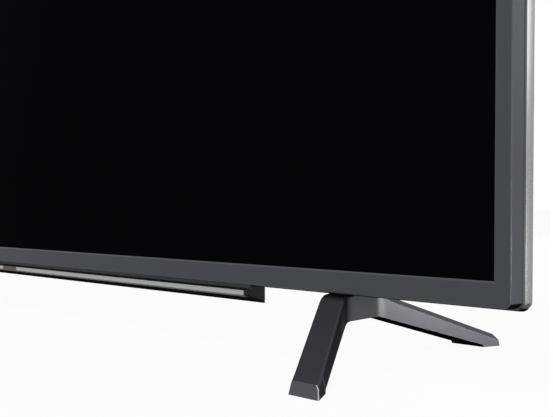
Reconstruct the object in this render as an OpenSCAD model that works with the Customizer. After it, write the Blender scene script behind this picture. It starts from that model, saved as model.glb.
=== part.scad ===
// Flat screen television on two splayed feet, built from separate pieces.
// X runs to the viewer's right, Y to the back and Z up.
// The origin is on the floor, midway between the feet and between their toes.
// A depth is measured backwards from the front face of the bezel.

/* [Screen] */
// Visible width of the picture
screen_w = 1209.6; // [1160:0.1:1300]
// Visible height of the picture
screen_h = 680.4; // [640:0.1:740]

/* [Front bezel] */
// Width of the bezel beside the picture
bezel_side = 11.6; // [9.4:0.1:16]
// Width of the bezel above the picture
bezel_top = 11.6; // [9.4:0.1:16]
// Width of the bezel below the picture
bezel_bottom = 16.4; // [13:0.1:24]
// Depth of the bezel's outer wall
bezel_depth = 14; // [13:0.1:18]
// How far the outer wall leans outwards over its depth
bezel_flare = 1.1; // [0.4:0.1:1.6]
// Thickness of the outer wall
bezel_wall = 1.8; // [1.4:0.1:2.2]
// Thickness of the front lip
lip_t = 1.8; // [1.4:0.1:3]
// Chamfer on the lip around the picture
lip_bevel = 1.2; // [0.6:0.1:1.3]
// Corner radius of the bezel
bezel_corner_r = 5; // [3:0.5:8]

/* [Rear shell] */
// How far the rim stands out beyond the bezel's front edge
rim_overhang = 2.4; // [2.4:0.1:4]
// Shadow gap between the bezel's wall and the rim
rim_gap = 0.8; // [0.4:0.1:1.2]
// Depth of the rim's straight side
rim_depth = 10.8; // [9:0.1:12.8]
// Corner radius of the rim
rim_corner_r = 9; // [6:0.5:14]
// Wall of the rear shell
shell_wall = 2.2; // [1.8:0.1:2.6]
// Width of the bevel that leads from the rim to the flat back
shell_bevel = 18; // [12:1:30]
// Free depth between the chassis and the rear shell
back_gap = 5.4; // [5:0.1:8]
// Length of the tongue that slides into the bezel
tongue_len = 5.5; // [4:0.5:5.5]

/* [Panel stack] */
// Foam tape behind the bezel's lip
tape_t = 0.4; // [0.3:0.1:0.8]
// Glass panel
panel_t = 1.4; // [1:0.1:2]
// Ledge of the middle frame
ledge_t = 1; // [0.8:0.1:1.6]
// Stack of optical films
films_t = 0.8; // [0.4:0.1:1.2]
// Diffuser plate
diffuser_t = 2; // [1.5:0.1:2.5]
// Free depth in front of the reflector
light_depth = 13.6; // [12:0.1:15]
// Reflector sheet
reflector_t = 0.4; // [0.3:0.1:0.8]
// Steel of the chassis pan
chassis_t = 1; // [0.8:0.1:1.5]
// Rows of light bars
led_rows = 5; // [3:1:6]
// Lenses on each light bar
led_count = 12; // [8:1:14]
// Width of a light bar
led_bar_w = 14; // [13.5:0.5:18]
// Thickness of a light bar
led_bar_t = 1.2; // [1:0.1:1.6]
// Radius of a lens
lens_r = 6.5; // [5:0.5:6.5]
// Height of a lens
lens_h = 4; // [3:0.5:6]
// Distance from the end of a light bar to the picture's edge
led_inset = 60; // [40:1:90]

/* [Electronics cover] */
// How far the cover reaches outside the hubs of the feet
cover_margin = 37; // [34:1:48]
// Height of the cover
cover_h = 440; // [430:1:480]
// Depth of the cover behind the shell
cover_depth = 40; // [38:1:60]
// Wall of the cover
cover_wall = 2.5; // [2:0.1:3]
// How far each side of the cover slopes in
cover_side_slope = 40; // [30:1:46]
// How far the top of the cover slopes in
cover_top_slope = 30; // [20:1:36]
// Distance from the cover's side in to the wall that carries the sockets
bay_side = 100; // [94:1:110]
// Height of the socket bay
bay_h = 230; // [225:1:250]
// Height of the mains bay
mains_bay_h = 64; // [56:1:90]
// Lower edge of both bays above the cover's lower face
bay_z = 74; // [70:1:90]
// Thickness of the floor of a bay
bay_floor = 3; // [2.5:0.1:4]
// Vent slots in one group
vent_count = 24; // [10:1:26]
// Width of a vent slot
vent_w = 4; // [3:0.5:5]
// Length of a vent slot
vent_len = 36; // [24:1:40]

/* [Wall mount] */
// Distance across the wall mount holes
vesa_w = 400; // [380:10:420]
// Distance up the wall mount holes
vesa_h = 200; // [190:10:210]
// Radius of a wall mount hole
vesa_r = 3; // [2:0.5:4]
// Depth of a wall mount hole
vesa_deep = 20; // [12:1:30]
// Height of the pattern's middle above the cover's lower face
vesa_mid = 280; // [270:1:290]
// Radius of a wall mount standoff
standoff_r = 9; // [7:0.5:10]

/* [Stand] */
// Height of the bezel's lower edge above the floor
floor_gap = 53.8; // [50:0.1:70]
// Overall depth of a foot
foot_depth = 243.4; // [230:0.1:280]
// Reach of the front toes ahead of the bezel
toe_reach = 85; // [75:0.5:95]
// How far the stance falls short of four fifths of the rim's width
stance_short = 24.08; // [11:0.02:50]
// Width of a hub
hub_w = 23; // [22:0.5:28]
// Depth from the bezel's front to the hub
hub_start = 12.5; // [10:0.5:14]
// Length of the hub's flat side
hub_len = 39.5; // [38:0.5:46]
// Height of a hub
hub_h = 20; // [18:0.5:24]
// Sideways spread of the front leg
front_spread = 52.1; // [40:0.1:60]
// Sideways spread of the rear leg
rear_spread = 47.8; // [40:0.1:60]
// Width of the front toe
front_toe_w = 22.8; // [20:0.1:30]
// Width of the rear toe
rear_toe_w = 30.4; // [24:0.1:36]
// Length of a toe that lies on the floor
toe_len = 14.9; // [13:0.1:20]
// Height of the step behind a toe
toe_step = 2.8; // [2:0.1:4]
// Height of the front toe
front_toe_h = 7.2; // [6:0.1:10]
// How far the front toe's face leans back
front_toe_lean = 6.5; // [3:0.1:8]
// Height of the rear toe
rear_toe_h = 10; // [8:0.1:12]
// How far the rear toe's face leans
rear_toe_lean = 3.9; // [2:0.1:6]
// Depth of the front knee behind the bezel's front
front_knee = 4; // [0:0.5:8]
// Depth of the rear knee behind the bezel's front
rear_knee = 51; // [48:0.5:60]
// Radius of the knees
knee_r = 8; // [4:0.5:10]
// Chamfer on the upper edges of a leg
leg_chamfer = 4; // [2:0.1:5]
// Rubber pad thickness
pad_t = 2; // [1.2:0.1:2.4]
// How far a pad stands out below its toe
pad_proud = 0.6; // [0.4:0.1:1]
// Margin of a pad inside the toe's outline
pad_inset = 2; // [1.5:0.1:4]
// Radius of a foot screw
foot_screw_r = 2; // [1.5:0.1:2.4]
// Metal left above a foot screw's head
foot_screw_seat = 9; // [7:0.5:12]

/* [Trim bar] */
// Length of the bar below the bezel
bar_len = 765.4; // [700:0.1:820]
// Depth of the bar's nose behind the bezel's front
nose_d = 3; // [1:0.1:5]
// Depth of the bar from nose to back
bar_depth = 25.9; // [23:0.1:27]
// Height of the nose
nose_h = 4.4; // [4:0.1:5]
// Distance from the cabinet's lower face down to the nose's top
nose_drop = 3; // [2.8:0.1:4]
// How far the underside falls from nose to back
bar_fall = 8.6; // [6:0.1:10]
// Depth from the nose back to the upper wall
bar_step = 8.5; // [6:0.1:9]
// Height of the shadow groove above the nose
groove_h = 1.2; // [0.8:0.1:1.4]
// Depth of the shadow groove
groove_d = 1.5; // [1:0.1:2]
// Thickness of the bar's bottom plate
bar_plate_t = 1.8; // [1.4:0.1:2.2]
// Wall of the bar
bar_wall = 1.6; // [1.2:0.1:1.8]
// Thickness of the bright strip
strip_t = 0.8; // [0.6:0.1:1]
// Width of the receiver's window
ir_w = 30; // [20:1:60]

/* [Speakers] */
// Length of a speaker box
box_len = 140; // [120:1:145]
// Depth of a speaker box
box_w = 36; // [35:0.5:37]
// Height of a speaker box
box_h = 52; // [46:1:60]
// Wall of a speaker box
box_wall = 2; // [1.6:0.1:2.2]
// Length of a cone
cone_len = 72; // [60:1:80]
// Rim of the driver's frame
driver_rim = 3; // [2.5:0.1:3.5]
// Radius of the voice coil
coil_r = 8; // [6:0.1:8.4]
// Radius of the magnet
magnet_r = 13; // [12:0.5:14]
// Height of the magnet
magnet_h = 8; // [7:0.5:12]
// Free width between a speaker box and the hub beside it
box_side = 30; // [25:1:35]

/* [Keys] */
// Distance from the rim's outer side in to the keys
key_edge = 58.8; // [50:0.1:64]
// Lower end of the key panel above the cabinet's lower face
key_z = 90; // [60:1:140]
// Width of a key
key_w = 8; // [6:0.5:10]
// Height of a push button
button_h = 10; // [8:0.5:12]
// Height of a rocker
rocker_h = 24; // [18:0.5:26]
// Free length between keys
key_space = 8; // [7:0.5:12]
// Travel of a push button
key_travel = 0.8; // [0.4:0.1:0.9]
// How far a key stands out of the panel
key_proud = 1.2; // [1:0.1:2]
// Radius of a rocker's pivot pins
pivot_r = 0.85; // [0.7:0.05:0.9]

/* [Boards and sockets] */
// Height of the board spacers
spacer_h = 14; // [13:0.5:16]
// Radius of a board spacer
spacer_r = 3.5; // [3:0.5:4]
// Thickness of a circuit board
board_t = 1.6; // [1.2:0.1:2]
// Free width from the wall mount holes out to the main and power boards
board_room = 28.5; // [22:0.5:46]
// Height of the main and power boards
board_h = 220; // [215:1:225]
// Distance between socket middles
socket_pitch = 25; // [24:0.5:26]
// Radius of a headphone jack's hole
jack_r = 1.8; // [1.75:0.05:1.9]
// Radius of the aerial socket's hole
aerial_r = 4.8; // [4.5:0.1:5]
// Radius of a cabinet screw
screw_r = 1.5; // [1.2:0.1:1.8]

/* [Fits] */
// Clearance between pieces that slot together
fit_gap = 0.3; // [0.2:0.05:0.4]
// Running clearance of the rocker pivots
pivot_gap = 0.05; // [0.03:0.01:0.08]

/* [Hidden] */
$fn = 48;
far = 2000;
eps = 0.5;

front_y = toe_reach - foot_depth / 2;
screen_z0 = floor_gap + bezel_bottom;
screen_z1 = screen_z0 + screen_h;
bezel_w = screen_w + 2 * bezel_side;
bezel_z0 = floor_gap;
bezel_z1 = screen_z1 + bezel_top;
rim_w = bezel_w + 2 * rim_overhang;
stance = 0.8 * rim_w - stance_short;
rim_z0 = bezel_z0 - rim_overhang;
rim_z1 = bezel_z1 + rim_overhang;

// Depths of the layers, front to back
panel_d = lip_t + tape_t;
ledge_d = panel_d + panel_t;
films_d = ledge_d + ledge_t;
diffuser_d = films_d + films_t;
flange_d = diffuser_d + diffuser_t;
reflector_d = flange_d + light_depth;
chassis_d = reflector_d + reflector_t;
chassis_back = chassis_d + chassis_t;
rim_d0 = bezel_depth + rim_gap;
rim_d1 = rim_d0 + rim_depth;
shell_back = chassis_back + back_gap + shell_wall;
cover_back = shell_back + cover_depth;
board_d = chassis_back + spacer_h;
board_back = board_d + board_t;

// Margins of the layers outside the picture's edge
tape_in = 0.6;
panel_m = 4;
ledge_in = 1.5;
frame_in = panel_m + 0.5;
frame_out = frame_in + 2;
film_m = panel_m - 0.8;
plate_m = panel_m - 0.5;
flange_m = frame_in - 0.2;
pan_m = 2;

// Width and heights in the lower back
vent_side = 60;
vent_drop = 10;
sound_pitch = 8;
tongue_t = 1.6;
cover_w = stance + 2 * cover_margin;
bay_x = cover_w / 2 - bay_side;
cover_z1 = rim_z0 + cover_h;
cover_floor = rim_z0 + cover_wall;
opening_side = 20;
bay_z0 = rim_z0 + bay_z;
board_drop = 6;
board_side = 1;
board_z0 = bay_z0 - board_drop;
board_x = bay_x - cover_wall - board_side;
board_w = board_x - vesa_w / 2 - board_room;
vesa_z = rim_z0 + vesa_mid;

// Foot outline
toe_front = -toe_reach;
toe_rear = foot_depth - toe_reach;
hub_end = hub_start + hub_len;
hub_out = stance / 2;
hub_in = hub_out - hub_w;
hub_mid = hub_out - hub_w / 2;
front_out = hub_out + front_spread;
rear_out = hub_out + rear_spread;
inner_lag = 5;
inner_start = hub_start + inner_lag;
front_run = front_out - front_toe_w - hub_in;
rear_run = rear_out - rear_toe_w - hub_in;
foot_screw_start = 6;
foot_screw_pitch = 9;
foot_screws_d = [for (k = [0, 1]) shell_back + foot_screw_start + k * foot_screw_pitch];
foot_screw_gap = 0.2;
cut_over = 30;
fillet_r = 4;
heel_run = 1;
arch_lead = 1;
foot_head_r = foot_screw_r + 2;
foot_head_h = 3;

// Trim bar section
nose_z1 = rim_z0 - nose_drop;
nose_z0 = nose_z1 - nose_h;
bar_back = nose_d + bar_depth;
wall_d = nose_d + bar_step;
groove_z = nose_z1 + 0.5;
bar_slope = bar_fall / bar_depth;
plate_start = nose_d + 5;
strip_edge = 0.2;
ir_edge = 0.7;

// Speaker section
box_d0 = shell_back + 1.2;
box_mid_d = box_d0 + box_w / 2;
ring_gap = 0.4;
cone_w = box_w - 2 * (box_wall + driver_rim + fit_gap + ring_gap);
ring_z = cover_floor + box_wall;
ring_t = 2;
cone_t = 1.2;
coil_t = 0.5;
coil_gap = 0.5;
magnet_z = ring_z + 7;
box_x = hub_in - box_side - box_len;
box_mid_x = box_x + box_len / 2;

// Key section
key_x = rim_w / 2 - key_edge;
key_inner = shell_back - shell_wall;
panel_flange = 1.2;
flange_face = key_inner - panel_flange;
key_flange = 0.8;
key_ledge = 1;
pivot_d = (flange_face + shell_back) / 2;
pivot_len = 1.2;
key_gap = 0.4;
keys_z0 = rim_z0 + key_z;
channel_z = keys_z0 + key_space + rocker_h / 2;
volume_z = channel_z + rocker_h + key_space;
source_z = volume_z + rocker_h / 2 + key_space + button_h / 2;
power_z = source_z + button_h + key_space;
keys_z1 = power_z + button_h / 2 + key_space;
key_side = 4;
key_half = key_w / 2 + key_side;
key_lap = 3;
key_board_t = 1;
switch_h = 1;
switch_half = 2;

// Screw places
screw_head_r = 3.5;
screw_head_h = 2.2;
well_r = 5.5;
well_wall = 1.8;
screw_edge = 42;
shell_screws = concat(
    [for (k = [-2:2]) [k * rim_w / 5, rim_z1 - screw_edge]],
    [for (s = [-1, 1], h = [0.4, 0.72]) [s * (rim_w / 2 - screw_edge), rim_z0 + h * (rim_z1 - rim_z0)]]);
upper_screw_out = 130;
upper_screw_drop = 50;
upper_screw_x = vesa_w / 2 + upper_screw_out;
upper_screw_z = cover_z1 - cover_top_slope - upper_screw_drop;
lower_screw_in = 50;
lower_screw_drop = 2.5;
lower_screw_x = box_x - lower_screw_in;
lower_screw_z = cover_floor + box_h - lower_screw_drop;
cover_screws_at = concat(
    [for (k = [-1:1]) [k * upper_screw_x, upper_screw_z]],
    [for (s = [-1, 1]) [s * lower_screw_x, lower_screw_z]]);
// Clearance of a screw in its hole, and the boss around a shell screw
screw_gap = 0.2;
boss_wall = 2.5;

// Sockets, from the bottom of the bay upwards
socket_start = 18;
function socket_z(k) = bay_z0 + socket_start + k * socket_pitch;

// Shared shapes

function y_at(d) = front_y + d;

// Extrudes a flat shape drawn in Y and Z along X, about X = 0
module along_x(w) {
    rotate([90, 0, 90])
        linear_extrude(w, center = true)
            children();
}

// Extrudes a flat shape drawn in X and Z along Y, between two depths
module along_y(d0, d1) {
    translate([0, y_at(d1), 0])
        rotate([90, 0, 0])
            linear_extrude(d1 - d0)
                children();
}

// Extrudes a flat shape drawn in X and Y along Z, between two heights
module along_z(z0, z1) {
    translate([0, 0, z0])
        linear_extrude(z1 - z0)
            children();
}

// A box given by its X, depth and Z limits
module block(x0, x1, d0, d1, z0, z1) {
    translate([x0, y_at(d0), z0])
        cube([x1 - x0, d1 - d0, z1 - z0]);
}

// A cylinder along Y between two depths
module rod_y(x, z, r, d0, d1) {
    translate([x, y_at(d1), z])
        rotate([90, 0, 0])
            cylinder(h = d1 - d0, r = r);
}

// A cylinder along X
module rod_x(x0, x1, d, z, r) {
    translate([x0, y_at(d), z])
        rotate([0, 90, 0])
            cylinder(h = x1 - x0, r = r);
}

// A cylinder along Z
module rod_z(x, d, r, z0, z1) {
    translate([x, y_at(d), z0])
        cylinder(h = z1 - z0, r = r);
}

// A slab that covers the picture and a margin around it
module picture_slab(m, d0, d1) {
    block(-screen_w / 2 - m, screen_w / 2 + m, d0, d1, screen_z0 - m, screen_z1 + m);
}

// A frame around the picture between two margins
module picture_frame(m_in, m_out, d0, d1) {
    difference() {
        picture_slab(m_out, d0, d1);
        picture_slab(m_in, d0 - eps, d1 + eps);
    }
}

// A block whose width and height change evenly from a front size to a back size
module taper_block(front, back, d0, d1) {
    intersection() {
        along_z(min(front[1], back[1]), max(front[2], back[2]))
            polygon([
                [-front[0] / 2, y_at(d0)], [front[0] / 2, y_at(d0)],
                [back[0] / 2, y_at(d1)], [-back[0] / 2, y_at(d1)]]);
        along_x(max(front[0], back[0]))
            polygon([
                [y_at(d0), front[1]], [y_at(d1), back[1]],
                [y_at(d1), back[2]], [y_at(d0), front[2]]]);
    }
}

// An upright rectangle with round corners
module rounded_rect(w, z0, z1, r) {
    translate([-w / 2 + r, z0])
        square([w - 2 * r, z1 - z0]);
    translate([-w / 2, z0 + r])
        square([w, z1 - z0 - 2 * r]);
    for (x = [-w / 2 + r, w / 2 - r], z = [z0 + r, z1 - r])
        translate([x, z])
            circle(r);
}

// A slot with round ends, its length along X
module stadium(l, w) {
    square([l - w, w], center = true);
    for (s = [-1, 1])
        translate([s * (l - w) / 2, 0])
            circle(w / 2);
}

// Points of an arc that rounds the corner at b of the path a, b, c
function unit(v) = v / norm(v);
function rounded_corner(a, b, c, r, steps = 6) =
    let (u = unit(a - b), v = unit(c - b), half = acos(u * v) / 2)
    let (reach = r / tan(half), mid = b + unit(u + v) * r / sin(half))
    let (p = b + u * reach - mid, q = b + v * reach - mid)
    [for (k = [0:steps])
        let (w = unit(p * (steps - k) + q * k))
        mid + w * r];

// Front bezel

module front_bezel() {
    inner_w = bezel_w - 2 * bezel_wall;
    rear = [bezel_w + 2 * bezel_flare, bezel_z0 - bezel_flare, bezel_z1 + bezel_flare];
    color("dimgray")
        difference() {
            intersection() {
                taper_block([bezel_w, bezel_z0, bezel_z1], rear, 0, bezel_depth);
                along_y(0, bezel_depth)
                    rounded_rect(rear[0], rear[1], rear[2], bezel_corner_r);
            }
            block(-inner_w / 2, inner_w / 2, lip_t, bezel_depth + eps,
                bezel_z0 + bezel_wall, bezel_z1 - bezel_wall);
            picture_slab(0, -eps, lip_t + eps);
            taper_block(
                [screen_w + 2 * (lip_bevel + eps), screen_z0 - lip_bevel - eps, screen_z1 + lip_bevel + eps],
                [screen_w, screen_z0, screen_z1], -eps, lip_bevel);
        }
}

// Panel stack

module panel_foam_tape() {
    color("black")
        picture_frame(tape_in, panel_m, lip_t, panel_d);
}

module lcd_panel() {
    color([0.02, 0.02, 0.025])
        picture_slab(panel_m, panel_d, ledge_d);
}

module middle_frame() {
    color([0.12, 0.12, 0.12])
        union() {
            picture_frame(ledge_in, frame_out, ledge_d, films_d);
            picture_frame(frame_in, frame_out, ledge_d, flange_d + chassis_t);
        }
}

module optical_films() {
    color("whitesmoke")
        picture_slab(film_m, films_d, diffuser_d);
}

module diffuser_plate() {
    color("white")
        picture_slab(plate_m, diffuser_d, flange_d);
}

// Height of a row of light bars
function led_z(k) = screen_z0 + (k + 0.5) * screen_h / led_rows;
led_half = screen_w / 2 - led_inset;
led_end = 20;
pin_base_r = 4;
pin_tip_r = 1;

module diffuser_pins() {
    color("white")
        for (x = [-0.36, -0.12, 0.12, 0.36], k = [1, led_rows - 1])
            translate([x * screen_w, y_at(reflector_d), screen_z0 + k * screen_h / led_rows])
                rotate([90, 0, 0])
                    cylinder(h = light_depth, r1 = pin_base_r, r2 = pin_tip_r);
}

module led_lenses() {
    pitch = 2 * (led_half - led_end) / (led_count - 1);
    color("ghostwhite")
        for (row = [0:led_rows - 1], k = [0:led_count - 1])
            rod_y(-led_half + led_end + k * pitch, led_z(row), lens_r,
                chassis_d - led_bar_t - lens_h, chassis_d - led_bar_t);
}

module led_bars() {
    color("ivory")
        for (row = [0:led_rows - 1])
            block(-led_half, led_half, chassis_d - led_bar_t, chassis_d,
                led_z(row) - led_bar_w / 2, led_z(row) + led_bar_w / 2);
}

module reflector_sheet() {
    slot = led_bar_w / 2 + fit_gap;
    color("white")
        difference() {
            picture_slab(pan_m - chassis_t - fit_gap, reflector_d, chassis_d);
            for (row = [0:led_rows - 1])
                block(-led_half - fit_gap, led_half + fit_gap, reflector_d - eps, chassis_d + eps,
                    led_z(row) - slot, led_z(row) + slot);
        }
}

module backlight_chassis() {
    color("lightgray")
        difference() {
            union() {
                picture_slab(pan_m, flange_d, chassis_back);
                picture_slab(flange_m, flange_d, flange_d + chassis_t);
            }
            picture_slab(pan_m - chassis_t, flange_d - eps, chassis_d);
            for (p = concat(shell_screws, cover_screws_at))
                rod_y(p[0], p[1], screw_r + screw_gap, chassis_d - eps, chassis_back + eps);
        }
}

// Driver boards along the panel's lower edge, and the films that feed them
source_z0 = screen_z0 + 4;
source_h = 18;
source_x0 = 24;
source_x1 = 400;
flex_w = 30;
flex_t = 0.3;

module source_boards() {
    color("darkgreen")
        for (s = [0, 1])
            mirror([s, 0, 0])
                block(source_x0, source_x1, chassis_back, chassis_back + board_t,
                    source_z0, source_z0 + source_h);
}

module panel_flexes() {
    a = panel_d + 0.5;
    b = chassis_back + board_t;
    low = screen_z0 - frame_out - 0.8;
    high = source_z0 + 4;
    count = 4;
    pitch = (source_x1 - source_x0 - flex_w) / (count - 1);
    color("goldenrod")
        for (s = [-1, 1], k = [0:count - 1])
            translate([s * (source_x0 + flex_w / 2 + k * pitch), 0, 0])
                along_x(flex_w)
                    polygon([
                        [y_at(a), screen_z0 - panel_m], [y_at(a), low],
                        [y_at(b + flex_t), low], [y_at(b + flex_t), high],
                        [y_at(b), high], [y_at(b), low + flex_t],
                        [y_at(a + flex_t), low + flex_t], [y_at(a + flex_t), screen_z0 - panel_m]]);
}

// Rear shell with the bright rim

// The shell's form, drawn in by a wall on every side but the front
module shell_form(wall, d0) {
    back = shell_back - wall;
    side = rim_w - 2 * wall;
    z0 = rim_z0 + wall;
    z1 = rim_z1 - wall;
    slope = shell_bevel / (shell_back - rim_d1);
    wide = slope * (rim_d1 - d0);
    bevel = slope * (back - rim_d1);
    intersection() {
        along_y(d0, back)
            rounded_rect(side, z0, z1, rim_corner_r - wall);
        taper_block([side + 2 * wide, z0 - eps, z1 + wide],
            [side - 2 * bevel, z0 - eps, z1 - bevel], d0, back);
    }
}

module rear_shell() {
    tongue_w = bezel_w - 2 * (bezel_wall + fit_gap);
    tongue_z0 = bezel_z0 + bezel_wall + fit_gap;
    tongue_z1 = bezel_z1 - bezel_wall - fit_gap;
    color("silver")
        difference() {
            union() {
                difference() {
                    shell_form(0, rim_d0);
                    shell_form(shell_wall, rim_d0 + shell_wall);
                }
                block(-tongue_w / 2, tongue_w / 2, rim_d0 - tongue_len, rim_d0 + eps, tongue_z0, tongue_z1);
                for (p = shell_screws)
                    rod_y(p[0], p[1], screw_r + boss_wall, chassis_back, shell_back - shell_wall / 2);
            }
            block(-tongue_w / 2 + tongue_t, tongue_w / 2 - tongue_t,
                rim_d0 - tongue_len - eps, rim_d0 + shell_wall + eps,
                tongue_z0 + tongue_t, tongue_z1 - tongue_t);
            block(-cover_w / 2 + opening_side, cover_w / 2 - opening_side, chassis_back, shell_back + eps,
                rim_z0 + shell_wall, cover_z1 - opening_side);
            for (p = shell_screws)
                rod_y(p[0], p[1], screw_r + screw_gap, chassis_back - eps, shell_back + eps);
            block(key_x - key_half - fit_gap / 2, key_x + key_half + fit_gap / 2,
                key_inner - eps, shell_back + eps, keys_z0 - fit_gap / 2, keys_z1 + fit_gap / 2);
        }
}

// Electronics cover

module cover_form(wall, d0) {
    share = (cover_depth - wall) / cover_depth;
    front_w = cover_w - 2 * wall;
    taper_block([front_w, rim_z0 + wall, cover_z1 - wall],
        [front_w - 2 * cover_side_slope * share, rim_z0 + wall, cover_z1 - wall - cover_top_slope * share],
        d0, cover_back - wall);
}

// The socket bay on the left and the mains bay on the right, grown by a wall
module bays(wall) {
    floor_d = shell_back + bay_floor - wall;
    block(-cover_w, -bay_x + wall, floor_d, cover_back + far, bay_z0 - wall, bay_z0 + bay_h + wall);
    block(bay_x - wall, cover_w, floor_d, cover_back + far, bay_z0 - wall, bay_z0 + mains_bay_h + wall);
}

module electronics_cover() {
    vent_pitch = 2 * vent_w;
    vent_half = (vent_count - 1) / 2 * vent_pitch;
    sound_half = sound_pitch / 4;
    vent_z = upper_screw_z - vent_drop;
    color([0.1, 0.1, 0.11])
        difference() {
            union() {
                difference() {
                    difference() {
                        cover_form(0, shell_back);
                        bays(0);
                    }
                    difference() {
                        cover_form(cover_wall, shell_back - eps);
                        bays(cover_wall);
                    }
                }
                for (p = cover_screws_at)
                    rod_y(p[0], p[1], well_r + well_wall, chassis_back, cover_back - cover_wall / 2);
            }
            for (p = cover_screws_at) {
                rod_y(p[0], p[1], well_r, chassis_back + bay_floor, cover_back + eps);
                rod_y(p[0], p[1], screw_r + screw_gap, chassis_back - eps, cover_back);
            }
            for (x = [-1, 1], z = [-1, 1])
                rod_y(x * vesa_w / 2, vesa_z + z * vesa_h / 2, standoff_r + fit_gap,
                    cover_back - cover_wall - eps, cover_back + eps);
            for (s = [-1, 1], k = [0:vent_count - 1])
                translate([s * (vent_half + vent_side) - vent_half + k * vent_pitch - vent_w / 2,
                    y_at(cover_back - cover_wall - eps), vent_z - vent_len])
                    cube([vent_w, cover_wall + 2 * eps, vent_len]);
            for (s = [-1, 1], k = [-4:4])
                translate([s * box_mid_x + k * sound_pitch, 0, 0])
                    block(-sound_half, sound_half, box_mid_d - cone_w / 2, box_mid_d + cone_w / 2,
                        rim_z0 - eps, cover_floor + eps);
            for (s = [-1, 1], d = foot_screws_d)
                rod_z(s * hub_mid, d, foot_screw_r + foot_screw_gap, rim_z0 - eps, cover_floor + eps);
            socket_cuts();
        }
}

module vesa_standoffs() {
    color("silver")
        for (x = [-1, 1], z = [-1, 1])
            difference() {
                rod_y(x * vesa_w / 2, vesa_z + z * vesa_h / 2, standoff_r, chassis_back, cover_back);
                rod_y(x * vesa_w / 2, vesa_z + z * vesa_h / 2, vesa_r,
                    cover_back - vesa_deep, cover_back + eps);
            }
}

// One pan head screw along Y whose head sits on a face at depth d
module cabinet_screw(p, d) {
    rod_y(p[0], p[1], screw_head_r, d, d + screw_head_h);
    rod_y(p[0], p[1], screw_r, chassis_d + screw_gap, d + eps);
}

module cabinet_screws() {
    color("dimgray") {
        for (p = shell_screws)
            cabinet_screw(p, shell_back);
        for (p = cover_screws_at)
            cabinet_screw(p, chassis_back + bay_floor);
    }
}

// Boards

module spaced_board(x0, x1, z0, z1) {
    block(x0, x1, board_d, board_back, z0, z1);
}

chip = 34;
chip_t = 2;
chip_x = -board_x + board_w * 0.6;
chip_z = board_z0 + board_h * 0.55;

module main_board() {
    color("darkgreen")
        union() {
            spaced_board(-board_x, -board_x + board_w, board_z0, board_z0 + board_h);
            block(chip_x - chip / 2, chip_x + chip / 2, board_back - eps, board_back + chip_t,
                chip_z - chip / 2, chip_z + chip / 2);
        }
}

module heat_sink() {
    sink_side = 6;
    sink = chip + 2 * sink_side;
    fins = 8;
    fin_t = 1.2;
    fin_h = 8;
    base = board_back + chip_t;
    base_t = 3;
    pitch = (sink - fin_t) / (fins - 1);
    color("darkgray")
        union() {
            block(chip_x - sink / 2, chip_x + sink / 2, base, base + base_t,
                chip_z - sink / 2, chip_z + sink / 2);
            for (k = [0:fins - 1])
                translate([chip_x - sink / 2 + k * pitch, y_at(base + base_t - eps), chip_z - sink / 2])
                    cube([fin_t, fin_h, sink]);
        }
}

socket_wall = 2;

// A metal box socket that opens to the left, its mouth in the bay's wall
module box_socket(z, outer, inner, deep) {
    mid = board_back + outer[1] / 2;
    difference() {
        block(-bay_x, -bay_x + deep + socket_wall, board_back, board_back + outer[1],
            z - outer[0] / 2, z + outer[0] / 2);
        block(-bay_x - eps, -bay_x + deep, mid - inner[1] / 2, mid + inner[1] / 2,
            z - inner[0] / 2, z + inner[0] / 2);
    }
}

// Width and height of each socket's body and of its mouth
hdmi_out = [16, 6.4];
hdmi_in = [14.2, 4.8];
usb_out = [14.4, 7];
usb_in = [12.6, 5.2];
lan_out = [17, 14];
lan_in = [12, 8.4];
optical_out = [11, 11];
optical_in = [6.4, 6.4];
hdmi_k = [0, 1, 2];
usb_k = [3, 4];
lan_k = 5;
optical_k = 6;
jack_k = 7;
aerial_k = 8;
jack_out = 9;
aerial_out = 13;
aerial_deep = 12;
jack_deep = 14;
hdmi_deep = 11;
usb_deep = 13;
lan_deep = 13;
optical_deep = 9;

module hdmi_sockets() {
    color("silver")
        for (k = hdmi_k)
            box_socket(socket_z(k), hdmi_out, hdmi_in, hdmi_deep);
}

module usb_sockets() {
    color("silver")
        for (k = usb_k)
            box_socket(socket_z(k), usb_out, usb_in, usb_deep);
}

module lan_socket() {
    color("silver")
        box_socket(socket_z(lan_k), lan_out, lan_in, lan_deep);
}

module optical_socket() {
    color([0.08, 0.08, 0.08])
        box_socket(socket_z(optical_k), optical_out, optical_in, optical_deep);
}

module round_socket(z, size, r, deep) {
    difference() {
        block(-bay_x, -bay_x + deep + socket_wall, board_back, board_back + size, z - size / 2, z + size / 2);
        rod_x(-bay_x - eps, -bay_x + deep, board_back + size / 2, z, r);
    }
}

module headphone_socket() {
    color([0.08, 0.08, 0.08])
        round_socket(socket_z(jack_k), jack_out, jack_r, jack_deep);
}

module aerial_socket() {
    color("silver")
        round_socket(socket_z(aerial_k), aerial_out, aerial_r, aerial_deep);
}

// Mains inlet with two pins, facing right
inlet_out = [27, 19];
inlet_in = [19, 11];
inlet_deep = 13;
inlet_z = bay_z0 + mains_bay_h / 2;
inlet_back = 6;
pin_r = 1.2;
pin_space = 8.6;
pin_recess = 3;

module mains_inlet() {
    mid = board_back + inlet_out[1] / 2;
    color([0.08, 0.08, 0.08])
        union() {
            difference() {
                block(bay_x - inlet_deep - inlet_back, bay_x, board_back, board_back + inlet_out[1],
                    inlet_z - inlet_out[0] / 2, inlet_z + inlet_out[0] / 2);
                block(bay_x - inlet_deep, bay_x + eps, mid - inlet_in[1] / 2, mid + inlet_in[1] / 2,
                    inlet_z - inlet_in[0] / 2, inlet_z + inlet_in[0] / 2);
            }
            for (s = [-1, 1])
                rod_x(bay_x - inlet_deep - eps, bay_x - pin_recess, mid, inlet_z + s * pin_space / 2, pin_r);
        }
}

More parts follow.
